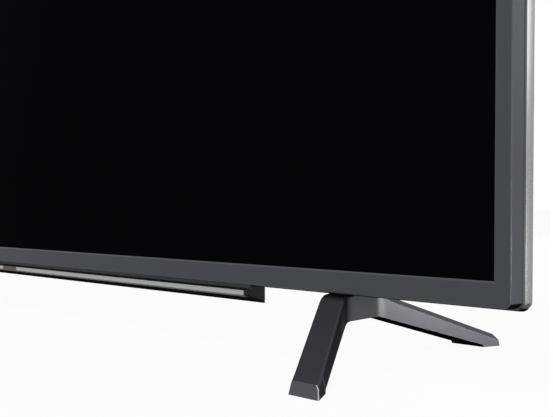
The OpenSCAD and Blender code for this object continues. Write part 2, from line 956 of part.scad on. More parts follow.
// Openings in the bays' walls that the sockets come through
module socket_cut(z, outer) {
    block(-bay_x - eps, -bay_x + cover_wall + eps, board_back - fit_gap, board_back + outer[1] + fit_gap,
        z - outer[0] / 2 - fit_gap, z + outer[0] / 2 + fit_gap);
}

module socket_cuts() {
    for (k = hdmi_k)
        socket_cut(socket_z(k), hdmi_out);
    for (k = usb_k)
        socket_cut(socket_z(k), usb_out);
    socket_cut(socket_z(lan_k), lan_out);
    socket_cut(socket_z(optical_k), optical_out);
    socket_cut(socket_z(jack_k), [jack_out, jack_out]);
    socket_cut(socket_z(aerial_k), [aerial_out, aerial_out]);
    block(bay_x - cover_wall - eps, bay_x + eps, board_back - fit_gap, board_back + inlet_out[1] + fit_gap,
        inlet_z - inlet_out[0] / 2 - fit_gap, inlet_z + inlet_out[0] / 2 + fit_gap);
}

wifi_x = -70;
wifi_w = 40;
wifi_h = 30;
wifi_rise = 10;
can_inset = 5;
can_h = 2.4;
tcon_w = 180;
tcon_rise = 12;
tcon_z0 = board_z0 + tcon_rise;
tcon_h = 56;

module tcon_board() {
    color("darkgreen")
        block(-tcon_w / 2, tcon_w / 2, chassis_back, chassis_back + board_t, tcon_z0, tcon_z0 + tcon_h);
}

module wifi_module() {
    x1 = wifi_x + wifi_w;
    z0 = vesa_z + wifi_rise;
    z1 = z0 + wifi_h;
    color("gray")
        union() {
            block(wifi_x, x1, chassis_back, chassis_back + board_t, z0, z1);
            block(wifi_x + can_inset, x1 - 2 * can_inset, chassis_back + board_t - eps,
                chassis_back + board_t + can_h, z0 + can_inset, z1 - can_inset);
        }
}

module power_board() {
    color("tan")
        spaced_board(board_x - board_w, board_x, board_z0, board_z0 + board_h);
}

module transformer() {
    x = board_x - board_w / 2;
    z = board_z0 + board_h / 2;
    core_x = 22;
    core_z = 20;
    core_h = 20;
    coil_x = 15;
    coil_z = 26;
    coil_h = 23;
    core = [core_x, core_z, core_h];
    coil = [coil_x, coil_z, coil_h];
    color("khaki")
        union()
            for (b = [core, coil])
                block(x - b[0], x + b[0], board_back, board_back + b[2], z - b[1], z + b[1]);
}

module capacitors() {
    can_r = 11;
    can_h = 24;
    pitch = 30;
    color("midnightblue")
        for (k = [0:2])
            rod_y(board_x - board_w * 0.22, board_z0 + board_h / 2 + k * pitch, can_r,
                board_back, board_back + can_h);
}

module board_spacers() {
    inset = 8;
    socket_side = 22;
    color("silver")
        for (s = [-1, 1], x = [socket_side, board_w - inset], z = [inset, board_h - inset])
            rod_y(s * (board_x - x), board_z0 + z, spacer_r, chassis_back, board_d);
}

// Leads inside the cabinet

// A flat lead that follows points given as X and depth, level with Z
module flat_lead(points, t, z0, z1) {
    path = [for (p = points) [p[0], y_at(p[1])]];
    back = [for (k = [len(path) - 1:-1:0]) path[k] + [0, t]];
    along_z(z0, z1)
        polygon(concat(path, back));
}

module ribbon_cable() {
    t = 0.4;
    from = -board_x + board_w;
    to = -tcon_w / 2;
    top = chassis_back + board_t;
    edge = 12;
    lap = 16;
    over = 3;
    lead_in = 4;
    landing = 2;
    grip = 24;
    color("lightblue")
        flat_lead([
            [from - lap, board_back], [from + over, board_back],
            [to - lead_in, top + t], [to + landing, top], [to + grip, top]],
            t, tcon_z0 + edge, tcon_z0 + tcon_h - edge);
}

module power_harness() {
    t = 2;
    width = 12;
    left = -board_x + board_w;
    drop = 34;
    lap = 14;
    over = 4;
    fall = 22;
    z = board_z0 + board_h - drop;
    color("firebrick")
        flat_lead([
            [left - lap, board_back], [left + over, board_back], [left + fall, chassis_back],
            [-left - fall, chassis_back], [-left - over, board_back], [-left + lap, board_back]],
            t, z, z + width);
}

// Speakers

box_top = cover_floor + box_h;
lead_t = 1.4;
lead_w = 3.4;

module speaker_lead_left() {
    inset = 40;
    lap = 14;
    under = 2;
    foot = 5;
    x = -board_x + inset;
    color([0.15, 0.15, 0.15])
        along_x_at(x, lead_w)
            polygon([
                [y_at(board_back), board_z0 + lap], [y_at(board_back), board_z0 - under],
                [y_at(box_mid_d), box_top], [y_at(box_mid_d + foot), box_top],
                [y_at(board_back + lead_t), board_z0 - under / 2],
                [y_at(board_back + lead_t), board_z0 + lap]]);
}

module speaker_lead_right() {
    left = -board_x + board_w;
    box_d = box_d0 + box_wall;
    lap = 12;
    over = 4;
    fall = 24;
    landing = 2;
    end = box_x + 10 * landing;
    color([0.15, 0.15, 0.15])
        union() {
            flat_lead([
                [left - lap, board_back], [left + over, board_back], [left + fall, chassis_back],
                [box_x - fall, chassis_back], [box_x + landing, box_d], [end, box_d]],
                lead_t, board_z0, board_z0 + lead_w);
            block(end - lead_w, end, box_d, box_d + lead_t, box_top, board_z0 + lead_w);
        }
}

module along_x_at(x, w) {
    translate([x, 0, 0])
        along_x(w)
            children();
}

module at_speaker(s) {
    translate([s * box_mid_x, y_at(box_mid_d), 0])
        children();
}

module speaker_box(s) {
    color([0.1, 0.1, 0.1])
        at_speaker(s)
            difference() {
                translate([-box_len / 2, -box_w / 2, cover_floor])
                    cube([box_len, box_w, box_h]);
                translate([-box_len / 2 + box_wall, -box_w / 2 + box_wall, ring_z])
                    cube([box_len - 2 * box_wall, box_w - 2 * box_wall, box_h - 2 * box_wall]);
                translate([0, 0, cover_floor - eps])
                    linear_extrude(box_wall + 2 * eps)
                        stadium(cone_len + 2 * ring_gap, cone_w + 2 * ring_gap);
            }
}

module speaker_box_left() {
    speaker_box(-1);
}

module speaker_box_right() {
    speaker_box(1);
}

module speaker_driver(s) {
    hole_l = cone_len + 2 * ring_gap;
    hole_w = cone_w + 2 * ring_gap;
    arm_in = hole_l / 2;
    arm_out = arm_in + driver_rim - ring_gap * 2;
    arm_w = 8;
    arm_t = 3;
    foot_z = ring_z + ring_t / 2;
    bend_z = ring_z + ring_t + arm_t;
    top_z = magnet_z + magnet_h;
    yoke_t = 3;
    yoke_z = top_z + yoke_t;
    color("gray")
        at_speaker(s)
            union() {
                translate([0, 0, ring_z])
                    linear_extrude(ring_t)
                        difference() {
                            stadium(hole_l + 2 * driver_rim, hole_w + 2 * driver_rim);
                            stadium(hole_l, hole_w);
                        }
                for (k = [0, 1])
                    mirror([k, 0, 0])
                        rotate([90, 0, 0])
                            linear_extrude(arm_w, center = true)
                                polygon([
                                    [arm_in, foot_z], [arm_out, foot_z], [arm_out, bend_z + 1],
                                    [magnet_r + 2, yoke_z], [magnet_r - arm_t, yoke_z],
                                    [magnet_r - arm_t, top_z], [magnet_r, top_z - 2], [arm_in, bend_z]]);
                difference() {
                    translate([0, 0, magnet_z])
                        cylinder(h = magnet_h + yoke_t, r = magnet_r);
                    translate([0, 0, magnet_z - eps])
                        cylinder(h = magnet_h + eps, r = coil_r + coil_gap);
                }
                translate([0, 0, magnet_z])
                    cylinder(h = magnet_h + eps, r = coil_r - coil_t - coil_gap);
            }
}

module speaker_driver_left() {
    speaker_driver(-1);
}

module speaker_driver_right() {
    speaker_driver(1);
}

module speaker_cone(s) {
    color([0.2, 0.2, 0.2])
        at_speaker(s)
            union() {
                translate([0, 0, ring_z + fit_gap])
                    linear_extrude(cone_t)
                        stadium(cone_len, cone_w);
                difference() {
                    translate([0, 0, ring_z + fit_gap])
                        cylinder(h = magnet_z - ring_z + magnet_h / 2, r = coil_r);
                    translate([0, 0, ring_z + fit_gap + cone_t])
                        cylinder(h = far, r = coil_r - coil_t);
                }
            }
}

module speaker_cone_left() {
    speaker_cone(-1);
}

module speaker_cone_right() {
    speaker_cone(1);
}

// Trim bar below the bezel

// Height of the bar's underside at a depth
function bar_low(d) = nose_z0 - (d - nose_d) * bar_slope;

module trim_bar() {
    tongue_back = rim_d0 - rim_gap;
    tongue_top = bezel_z0 - bezel_flare - fit_gap;
    hollow_d = wall_d + groove_d + bar_wall;
    floor_t = bar_plate_t + bar_wall;
    color([0.16, 0.16, 0.17])
        difference() {
            along_x(bar_len)
                polygon([
                    [y_at(nose_d), nose_z0], [y_at(nose_d), nose_z1],
                    [y_at(wall_d + groove_d), groove_z], [y_at(wall_d + groove_d), groove_z + groove_h],
                    [y_at(wall_d), groove_z + groove_h], [y_at(wall_d), tongue_top],
                    [y_at(tongue_back), tongue_top], [y_at(tongue_back), rim_z0],
                    [y_at(bar_back), rim_z0], [y_at(bar_back), bar_low(bar_back) + bar_plate_t],
                    [y_at(plate_start), bar_low(plate_start) + bar_plate_t],
                    [y_at(plate_start), bar_low(plate_start)]]);
            along_x(bar_len - 2 * bar_wall)
                polygon([
                    [y_at(hollow_d), rim_z0 - bar_wall],
                    [y_at(bar_back - bar_wall), rim_z0 - bar_wall],
                    [y_at(bar_back - bar_wall), bar_low(bar_back) + floor_t],
                    [y_at(hollow_d), bar_low(hollow_d) + floor_t]]);
            block(-bar_len, bar_len, nose_d - eps, nose_d + strip_t,
                nose_z0 + strip_edge, nose_z1 - strip_edge);
            block(-ir_w / 2, ir_w / 2, nose_d - eps, hollow_d + eps, nose_z0 + ir_edge, nose_z1 - ir_edge);
        }
}

module bar_bottom_plate() {
    color([0.03, 0.03, 0.03])
        along_x(bar_len)
            polygon([
                [y_at(plate_start), bar_low(plate_start)],
                [y_at(plate_start), bar_low(plate_start) + bar_plate_t],
                [y_at(bar_back), bar_low(bar_back) + bar_plate_t], [y_at(bar_back), bar_low(bar_back)]]);
}

module trim_strip() {
    color("silver")
        for (s = [0, 1])
            mirror([s, 0, 0])
                block(ir_w / 2, bar_len / 2, nose_d, nose_d + strip_t,
                    nose_z0 + strip_edge, nose_z1 - strip_edge);
}

module ir_lens() {
    stem = ir_edge + fit_gap / 2;
    color([0.15, 0.02, 0.03])
        union() {
            block(-ir_w / 2, ir_w / 2, nose_d, nose_d + strip_t, nose_z0 + strip_edge, nose_z1 - strip_edge);
            block(-ir_w / 2 + fit_gap, ir_w / 2 - fit_gap, nose_d + strip_t / 2, wall_d + groove_d + bar_wall,
                nose_z0 + stem, nose_z1 - stem);
        }
}

module ir_board() {
    d0 = wall_d + groove_d + bar_wall;
    side = 6;
    color("darkgreen")
        block(-ir_w / 2 - side, ir_w / 2 + side, d0, d0 + board_t,
            bar_low(d0) + bar_plate_t + bar_wall, rim_z0 - bar_wall);
}

// Keys on the back of the shell

module key_panel() {
    hole = key_w / 2 + key_gap;
    socket = hole + pivot_len + fit_gap;
    color([0.1, 0.1, 0.1])
        difference() {
            union() {
                block(key_x - key_half, key_x + key_half, flange_face, shell_back, keys_z0, keys_z1);
                block(key_x - key_half - key_lap, key_x + key_half + key_lap, flange_face, key_inner,
                    keys_z0 - key_lap, keys_z1 + key_lap);
            }
            for (z = [power_z, source_z])
                block(key_x - hole, key_x + hole, flange_face - eps, shell_back + eps,
                    z - button_h / 2 - key_gap, z + button_h / 2 + key_gap);
            for (z = [volume_z, channel_z]) {
                block(key_x - hole, key_x + hole, flange_face - eps, shell_back + eps,
                    z - rocker_h / 2 - key_gap, z + rocker_h / 2 + key_gap);
                rod_x(key_x - socket, key_x + socket, pivot_d, z, pivot_r + pivot_gap);
            }
        }
}

module key_board() {
    color("darkgreen")
        union() {
            block(key_x - key_half, key_x + key_half, chassis_back, chassis_back + key_board_t,
                keys_z0, keys_z1);
            for (z = [power_z, source_z, volume_z + rocker_h / 3, volume_z - rocker_h / 3,
                channel_z + rocker_h / 3, channel_z - rocker_h / 3])
                block(key_x - switch_half, key_x + switch_half, chassis_back,
                    chassis_back + key_board_t + switch_h, z - switch_half, z + switch_half);
        }
}

module push_button(z) {
    face = flange_face - 0.2;
    color([0.06, 0.06, 0.06])
        union() {
            block(key_x - key_w / 2, key_x + key_w / 2, face - key_flange, shell_back + key_proud,
                z - button_h / 2, z + button_h / 2);
            block(key_x - key_w / 2 - key_ledge, key_x + key_w / 2 + key_ledge, face - key_flange, face,
                z - button_h / 2 - key_ledge, z + button_h / 2 + key_ledge);
        }
}

module power_button() {
    push_button(power_z);
}

module source_button() {
    push_button(source_z);
}

module rocker(z) {
    reach = key_w / 2 + key_gap + pivot_len;
    color([0.06, 0.06, 0.06])
        union() {
            block(key_x - key_w / 2, key_x + key_w / 2, flange_face, shell_back + key_proud,
                z - rocker_h / 2, z + rocker_h / 2);
            rod_x(key_x - reach, key_x + reach, pivot_d, z, pivot_r);
        }
}

module volume_rocker() {
    rocker(volume_z);
}

module channel_rocker() {
    rocker(channel_z);
}

// Feet

// Outer and inner side of the right foot at a depth
function outer_x(d) =
    d < hub_start ? hub_out + front_spread * (hub_start - d) / (hub_start - toe_front)
    : d > hub_end ? hub_out + rear_spread * (d - hub_end) / (toe_rear - hub_end)
    : hub_out;
function inner_x(d) =
    d < inner_start ? hub_in + front_run * (inner_start - d) / (inner_start - toe_front)
    : d > hub_end ? hub_in + rear_run * (d - hub_end) / (toe_rear - hub_end)
    : hub_in;

function flat_points(side, depths) = [for (d = depths) [side == 1 ? outer_x(d) : inner_x(d), y_at(d)]];

module foot_plan() {
    polygon(concat(
        flat_points(1, [toe_front, hub_start, hub_end, toe_rear]),
        flat_points(0, [toe_rear, hub_end, inner_start, toe_front])));
}

module foot_profile() {
    low = rim_z0 - hub_h;
    toe_f = [toe_front + front_toe_lean, front_toe_h];
    toe_r = [toe_rear - rear_toe_lean, rear_toe_h];
    knee_f = [front_knee, rim_z0];
    knee_b = [rear_knee, rim_z0];
    heel_f = [toe_front + toe_len + heel_run, toe_step];
    heel_r = [toe_rear - toe_len - heel_run, toe_step];
    arch_f = [hub_start - arch_lead, low];
    arch_r = [hub_end, low];
    outline = concat(
        [[toe_front, pad_proud], toe_f],
        rounded_corner(toe_f, knee_f, knee_b, knee_r),
        rounded_corner(knee_f, knee_b, toe_r, knee_r),
        [toe_r, [toe_rear, pad_proud], [toe_rear - toe_len, pad_proud], heel_r],
        rounded_corner(heel_r, arch_r, arch_f, fillet_r),
        rounded_corner(arch_r, arch_f, heel_f, fillet_r),
        [heel_f, [toe_front + toe_len, pad_proud]]);
    polygon([for (p = outline) [y_at(p[0]), p[1]]]);
}

// Cuts the edge between a and b at half a right angle; roll turns the cut to the edge's side
module edge_cut(a, b, roll) {
    run = b - a;
    flat = norm([run[0], run[1]]);
    side = leg_chamfer * sqrt(2);
    translate(a)
        rotate([0, 0, atan2(run[1], run[0])])
            rotate([0, -atan2(run[2], flat), 0])
                rotate([roll, 0, 0])
                    translate([-cut_over, -side / 2, -side / 2])
                        cube([norm(run) + 2 * cut_over, side, side]);
}

// A point on an upper edge of the right foot
function edge_point(side, d, z) = [side == 1 ? outer_x(d) : inner_x(d), y_at(d), z];

module leg_chamfers() {
    front_d = toe_front + front_toe_lean;
    rear_d = toe_rear - rear_toe_lean;
    intersection() {
        union()
            for (side = [0, 1])
                edge_cut(edge_point(side, front_knee, rim_z0), edge_point(side, front_d, front_toe_h), 45);
        block(0, far, toe_front - cut_over, front_knee, -cut_over, rim_z0 + cut_over);
    }
    intersection() {
        union()
            for (side = [0, 1])
                edge_cut(edge_point(side, rear_knee, rim_z0), edge_point(side, rear_d, rear_toe_h), 45);
        block(0, far, hub_end, toe_rear + cut_over, -cut_over, rim_z0 + cut_over);
    }
}

function toe_pad(d0, d1) = concat(
    [for (d = [d0, d1]) [outer_x(d) - pad_inset, y_at(d)]],
    [for (d = [d1, d0]) [inner_x(d) + pad_inset, y_at(d)]]);

module pad_plans(grow) {
    slope = front_toe_lean * pad_t / front_toe_h;
    for (d = [toe_front + pad_inset + slope, toe_rear - toe_len + pad_inset])
        pad_outline(toe_pad(d - grow, d + toe_len - 2 * pad_inset - slope + grow), grow);
}

// Draws a four-sided pad outline widened by a clearance on both sides
module pad_outline(p, grow) {
    polygon([p[0] + [grow, 0], p[1] + [grow, 0], p[2] - [grow, 0], p[3] - [grow, 0]]);
}

module foot() {
    seat = rim_z0 - foot_screw_seat;
    color([0.22, 0.22, 0.24])
        difference() {
            intersection() {
                along_z(0, rim_z0)
                    foot_plan();
                translate([hub_out, 0, 0])
                    along_x(4 * (front_spread + rear_spread))
                        foot_profile();
            }
            leg_chamfers();
            along_z(-eps, pad_t + fit_gap / 2)
                pad_plans(fit_gap / 2);
            for (d = foot_screws_d) {
                rod_z(hub_mid, d, foot_screw_r + foot_screw_gap, 0, rim_z0 + eps);
                rod_z(hub_mid, d, foot_head_r + 2 * foot_screw_gap, 0, seat);
            }
        }
}

module left_foot() {
    mirror([1, 0, 0])
        foot();
}

module right_foot() {
    foot();
}

module foot_pads() {
    color([0.03, 0.03, 0.03])
        for (s = [0, 1])
            mirror([s, 0, 0])
                along_z(0, pad_t)
                    pad_plans(0);
}

bracket_t = 3;
bracket_side = 5;
bracket_tall = 70;
bracket_lip = 4;

module foot_screws() {
    seat = rim_z0 - foot_screw_seat;
    color("dimgray")
        for (s = [-1, 1], d = foot_screws_d) {
            rod_z(s * hub_mid, d, foot_head_r, seat - foot_head_h, seat);
            rod_z(s * hub_mid, d, foot_screw_r, seat - eps, cover_floor + bracket_t);
        }
}

// Steel angle that ties a foot to the chassis through the cover's floor
module stand_brackets() {
    width = hub_w + 2 * bracket_side;
    ledge = foot_screws_d[1] + foot_head_r + bracket_lip;
    color("silver")
        for (s = [-1, 1])
            difference() {
                translate([s * hub_mid, 0, 0])
                    along_x(width)
                        polygon([
                            [y_at(chassis_back), cover_floor], [y_at(ledge), cover_floor],
                            [y_at(ledge), cover_floor + bracket_t],
                            [y_at(chassis_back + bracket_t), cover_floor + bracket_t],
                            [y_at(chassis_back + bracket_t), cover_floor + bracket_tall],
                            [y_at(chassis_back), cover_floor + bracket_tall]]);
                for (d = foot_screws_d)
                    rod_z(s * hub_mid, d, foot_screw_r + foot_screw_gap,
                        cover_floor - eps, cover_floor + bracket_t + eps);
            }
}

front_bezel();
panel_foam_tape();
lcd_panel();
middle_frame();
optical_films();
diffuser_plate();
diffuser_pins();
led_lenses();
led_bars();
reflector_sheet();
backlight_chassis();
source_boards();
panel_flexes();
rear_shell();
electronics_cover();
vesa_standoffs();
cabinet_screws();
main_board();
heat_sink();
hdmi_sockets();
usb_sockets();
lan_socket();
optical_socket();
headphone_socket();
aerial_socket();
wifi_module();
tcon_board();
power_board();
transformer();
capacitors();
mains_inlet();
board_spacers();
ribbon_cable();
power_harness();
speaker_lead_left();
speaker_lead_right();
speaker_box_left();
speaker_box_right();
speaker_driver_left();
speaker_driver_right();
speaker_cone_left();
speaker_cone_right();
trim_bar();
bar_bottom_plate();
trim_strip();
ir_lens();
ir_board();
key_panel();
key_board();
power_button();
source_button();
volume_rocker();
channel_rocker();
left_foot();
right_foot();
foot_pads();
foot_screws();
stand_brackets();
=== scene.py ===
"""Looks of a flat screen television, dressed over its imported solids."""

import math

import bmesh
import bpy
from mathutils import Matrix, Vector


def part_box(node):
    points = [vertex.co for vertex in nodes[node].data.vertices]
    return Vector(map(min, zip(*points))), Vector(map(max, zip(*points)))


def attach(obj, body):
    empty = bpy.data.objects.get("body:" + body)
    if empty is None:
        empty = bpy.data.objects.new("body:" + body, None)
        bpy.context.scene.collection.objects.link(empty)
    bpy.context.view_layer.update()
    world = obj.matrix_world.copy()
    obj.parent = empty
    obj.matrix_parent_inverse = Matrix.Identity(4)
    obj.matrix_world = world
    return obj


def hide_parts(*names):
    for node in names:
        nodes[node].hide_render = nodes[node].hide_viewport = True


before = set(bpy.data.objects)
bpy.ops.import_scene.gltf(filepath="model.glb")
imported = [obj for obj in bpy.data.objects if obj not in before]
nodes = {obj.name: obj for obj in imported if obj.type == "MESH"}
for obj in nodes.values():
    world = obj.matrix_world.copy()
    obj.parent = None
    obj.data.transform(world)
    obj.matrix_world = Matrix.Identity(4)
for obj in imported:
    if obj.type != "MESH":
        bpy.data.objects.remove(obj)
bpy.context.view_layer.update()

MM = 0.001
CABINET = "cabinet"
WHITE = (1.0, 1.0, 1.0, 1.0)


# Shader tools


class Wire:
    """An output socket in a node tree. Arithmetic on it adds Math nodes."""

    def __init__(self, tree, socket):
        self.tree = tree
        self.socket = socket

    def math(self, operation, first, second):
        return self.tree.node("ShaderNodeMath", {"operation": operation}, {0: first, 1: second})

    def __add__(self, other):
        return self.math("ADD", self, other)

    __radd__ = __add__

    def __sub__(self, other):
        return self.math("SUBTRACT", self, other)

    def __rsub__(self, other):
        return self.math("SUBTRACT", other, self)

    def __mul__(self, other):
        return self.math("MULTIPLY", self, other)

    __rmul__ = __mul__


class NodeTree:
    """The shader nodes of a finish or of the studio's light."""

    def __init__(self, tree):
        self.tree = tree

    def node(self, kind, settings=None, inputs=None, out=0):
        """Adds a node by its type, its settings and the values or links of its sockets."""
        made = self.tree.nodes.new(kind)
        for key, value in (settings or {}).items():
            setattr(made, key, value)
        for key, value in (inputs or {}).items():
            self.join(made.inputs[key], value)
        return Wire(self, made.outputs[out])

    def join(self, socket, value):
        if isinstance(value, Wire):
            self.tree.links.new(value.socket, socket)
        else:
            socket.default_value = value

    def seen(self):
        """1 for the rays that show the pale background, 0 for the light that it throws."""
        total = self.node("ShaderNodeLightPath", out="Is Camera Ray")
        for ray in ("Is Glossy Ray", "Is Transmission Ray"):
            total = total.math("MAXIMUM", total, self.node("ShaderNodeLightPath", out=ray))
        return total

    def show(self, output, share, lit, plain):
        """Ends the tree in two shaders, the plain one for a share of the rays."""
        mixed = self.node("ShaderNodeMixShader", inputs={0: share, 1: lit, 2: plain})
        self.join(self.tree.nodes[output].inputs["Surface"], mixed)


def shade(colour, factor):
    return tuple(min(1.0, c * factor) for c in colour) + (1.0,)


class Finish(NodeTree):
    """A material around one Principled shader."""

    def __init__(self, name, constants):
        self.material = bpy.data.materials.new(name)
        self.material.use_nodes = True
        super().__init__(self.material.node_tree)
        self.shader = self.tree.nodes["Principled BSDF"]
        self.spot = self.node("ShaderNodeTexCoord", out="Object")
        for socket, value in constants.items():
            self.paint(socket, value)

    def paint(self, socket, value):
        self.join(self.shader.inputs[socket], value)

    def noise(self, scale, detail=2.0, stretch=None):
        place = self.spot
        if stretch:
            place = self.node("ShaderNodeMapping", inputs={"Vector": place, "Scale": stretch})
        return self.node(
            "ShaderNodeTexNoise", inputs={"Vector": place, "Scale": scale, "Detail": detail}
        )

    def mix(self, share, first, second):
        return self.node(
            "ShaderNodeMix", {"data_type": "RGBA"}, {0: share, 6: first, 7: second}, out=2
        )

    def toned(self, pattern, colour, dark, light):
        """A colour that a pattern takes from its darkest to its lightest tone."""
        return self.mix(pattern, shade(colour, dark), shade(colour, light))

    def relief(self, height, depth):
        made = self.node("ShaderNodeBump", inputs={"Height": height, "Distance": depth})
        self.paint("Normal", made)


# Pattern scales, relief depths in metres, darkest and lightest tones
MOULD_CLOUD = 9.0
PAINT_CLOUD, PAINT_FLAKE, PAINT_RELIEF, PAINT_TONES = 12.0, 2600.0, 0.000008, (0.9, 1.1)
DRAWN_CLOUD, DRAWN_LINES, DRAWN_RELIEF, DRAWN_TONES = 14.0, 700.0, 0.000012, (0.86, 1.12)
BOARD_CLOUD, BOARD_ROWS, BOARD_RELIEF, BOARD_TONES = 160.0, 95.0, 0.00003, (0.8, 1.2)

# How far the patterns change the roughness and the metal, and their shares in the colour
CLOUD_SHEEN, GRAIN_SHEEN, FLAKE_SHEEN, LINE_SHEEN = 0.06, 0.08, 0.05, 0.16
FLAKE_METAL = 0.1
FLAKE_SHARE, LINE_SHARE, TRACE_SHARE = 0.6, 0.7, 0.6


def sway(pattern, amount):
    """A pattern as a change around zero."""
    return (pattern - 0.5) * amount


def blended(first, second, share):
    return first * share + second * (1 - share)


def moulded(name, colour, rough, grain=1800.0, depth=0.00002, spread=0.08, gloss=0.5):
    """Moulded plastic: a little cloudy in colour and sheen, with a fine grain."""
    made = Finish(name, {"Specular IOR Level": gloss})
    cloud = made.noise(MOULD_CLOUD, detail=3.0)
    speck = made.noise(grain)
    made.paint("Base Color", made.toned(cloud, colour, 1 - spread, 1 + spread))
    made.paint("Roughness", rough + sway(cloud, CLOUD_SHEEN) + sway(speck, GRAIN_SHEEN))
    made.relief(speck, depth)
    return made


def painted(name, colour, rough, metallic, gloss=0.5):
    """Paint with fine metal flakes."""
    made = Finish(name, {"Specular IOR Level": gloss})
    cloud = made.noise(PAINT_CLOUD, detail=3.0)
    speck = made.noise(PAINT_FLAKE, detail=1.0)
    tone = blended(speck, cloud, FLAKE_SHARE)
    made.paint("Base Color", made.toned(tone, colour, *PAINT_TONES))
    made.paint("Metallic", metallic + sway(speck, FLAKE_METAL))
    made.paint("Roughness", rough + sway(cloud, CLOUD_SHEEN) + sway(speck, FLAKE_SHEEN))
    made.relief(speck, PAINT_RELIEF)
    return made


def drawn(name, colour, rough, stretch, metallic=1.0):
    """Metal with fine lines drawn along one axis."""
    made = Finish(name, {})
    lines = made.noise(DRAWN_LINES, detail=3.0, stretch=stretch)
    tone = blended(lines, made.noise(DRAWN_CLOUD), LINE_SHARE)
    made.paint("Base Color", made.toned(tone, colour, *DRAWN_TONES))
    made.paint("Metallic", metallic)
    made.paint("Roughness", rough + sway(lines, LINE_SHEEN))
    made.relief(lines, DRAWN_RELIEF)
    return made


def printed(name, mask_colour, trace_colour):
    """Circuit board: solder mask with traces and pads that show through."""
    made = Finish(name, {"Roughness": 0.42})
    rows = made.node(
        "ShaderNodeTexBrick",
        {"offset": 0.37, "squash": 1.6},
        {"Vector": made.spot, "Scale": BOARD_ROWS, "Mortar Size": 0.03},
        out="Fac",
    )
    base = made.toned(made.noise(BOARD_CLOUD), mask_colour, *BOARD_TONES)
    made.paint("Base Color", made.mix(rows * TRACE_SHARE, base, shade(trace_colour, 1.0)))
    made.relief(rows, BOARD_RELIEF)
    return made


# Finishes

FOOT_TINT = (0.1, 0.1, 0.12, 1.0)

bezel_satin = moulded(
    "bezel_satin", (0.064, 0.0655, 0.073), 0.36, grain=1500.0, spread=0.05, gloss=0.1
)
# bezel_edge_highlight is a slightly lighter, glossier copy of the bezel satin: a painted highlight
# along the bezel's front edge
bezel_edge_highlight = moulded(
    "bezel_edge_highlight", (0.067, 0.0685, 0.076), 0.3, grain=1500.0, spread=0.05, gloss=0.22
)
screen_black = moulded(
    "screen_black", (0.0019, 0.0019, 0.0025), 0.3, grain=3200.0, depth=0.000004, gloss=0.001
)
rim_silver = painted("rim_silver", (0.215, 0.218, 0.217), 0.28, 0.85, gloss=0.0)
# rim_turn_shade is a darker copy of the rim's silver: painted shade where the rim's lower corners
# turn down
rim_turn_shade = painted("rim_turn_shade", (0.075, 0.076, 0.076), 0.34, 0.7, gloss=0.0)
# underside_shade is near-black painted shade on the downward faces of the bezel and the rim
underside_shade = moulded("underside_shade", (0.009, 0.009, 0.01), 0.7, gloss=0.0)
shell_dark = moulded("shell_dark", (0.018, 0.018, 0.019), 0.55, grain=900.0, depth=0.00005)
cover_grain = moulded("cover_grain", (0.014, 0.014, 0.015), 0.58, grain=700.0, depth=0.00008)
foot_paint = painted("foot_paint", (0.083, 0.084, 0.093), 0.3, 0.6, gloss=0.0)
foot_paint.paint("Specular Tint", FOOT_TINT)
# foot_edge_highlight is a lighter copy of the foot paint: a painted highlight along the outer
# chamfer of the legs
foot_edge_highlight = painted("foot_edge_highlight", (0.14, 0.142, 0.156), 0.26, 0.6, gloss=0.0)
foot_edge_highlight.paint("Specular Tint", FOOT_TINT)
# toe_edge_highlight is bright metal on the toe's rounded outer edge: a painted highlight
toe_edge_highlight = painted("toe_edge_highlight", (0.8, 0.8, 0.81), 0.24, 1.0)
# foot_under_shade is near-black painted shade on the downward faces of the feet
foot_under_shade = moulded("foot_under_shade", (0.003, 0.003, 0.003), 0.8, gloss=0.0)
pad_rubber = moulded(
    "pad_rubber", (0.006, 0.006, 0.006), 0.8, grain=900.0, depth=0.00006, gloss=0.3
)
strip_silver = drawn("strip_silver", (0.41, 0.41, 0.414), 0.34, (0.02, 1.0, 1.0), metallic=0.3)
bar_dark = moulded("bar_dark", (0.022, 0.022, 0.024), 0.5, grain=1500.0, gloss=0.15)
# bar_wall is a lighter copy of the bar's dark plastic: painted light that lifts the shade on the
# wall behind the bar's nose
bar_wall = moulded("bar_wall", (0.075, 0.076, 0.08), 0.5, grain=1500.0, gloss=0.3)
bar_black = moulded("bar_black", (0.019, 0.019, 0.019), 0.7, grain=1500.0, gloss=0.0)
ir_window = moulded("ir_window", (0.02, 0.003, 0.004), 0.08, grain=2500.0, depth=0.000002)
zinc_sheet = drawn("zinc_sheet", (0.46, 0.47, 0.48), 0.42, (1.0, 1.0, 0.08))
turned_steel = drawn("turned_steel", (0.5, 0.5, 0.5), 0.3, (1.0, 0.1, 1.0))
screw_black = painted("screw_black", (0.02, 0.02, 0.021), 0.4, 0.6)
board_green = printed("board_green", (0.012, 0.07, 0.025), (0.05, 0.16, 0.06))
board_tan = printed("board_tan", (0.35, 0.24, 0.1), (0.45, 0.3, 0.14))
film_white = moulded("film_white", (0.78, 0.78, 0.78), 0.5, grain=1200.0)
frame_black = moulded("frame_black", (0.012, 0.012, 0.012), 0.6)
foam_black = moulded(
    "foam_black", (0.008, 0.008, 0.008), 0.9, grain=600.0, depth=0.0002, gloss=0.1
)
lens_clear = moulded("lens_clear", (0.8, 0.82, 0.85), 0.12, grain=2400.0, depth=0.000002)
sink_aluminium = drawn("sink_aluminium", (0.5, 0.5, 0.52), 0.38, (1.0, 1.0, 0.06))
socket_metal = drawn("socket_metal", (0.58, 0.58, 0.58), 0.3, (0.1, 1.0, 1.0))
socket_black = moulded("socket_black", (0.01, 0.01, 0.01), 0.5)
winding_tape = drawn("winding_tape", (0.5, 0.42, 0.1), 0.45, (0.1, 1.0, 1.0), metallic=0.0)
can_sleeve = moulded("can_sleeve", (0.015, 0.02, 0.07), 0.35)
flex_film = moulded("flex_film", (0.42, 0.25, 0.05), 0.3)
lead_black = moulded("lead_black", (0.015, 0.015, 0.015), 0.55)
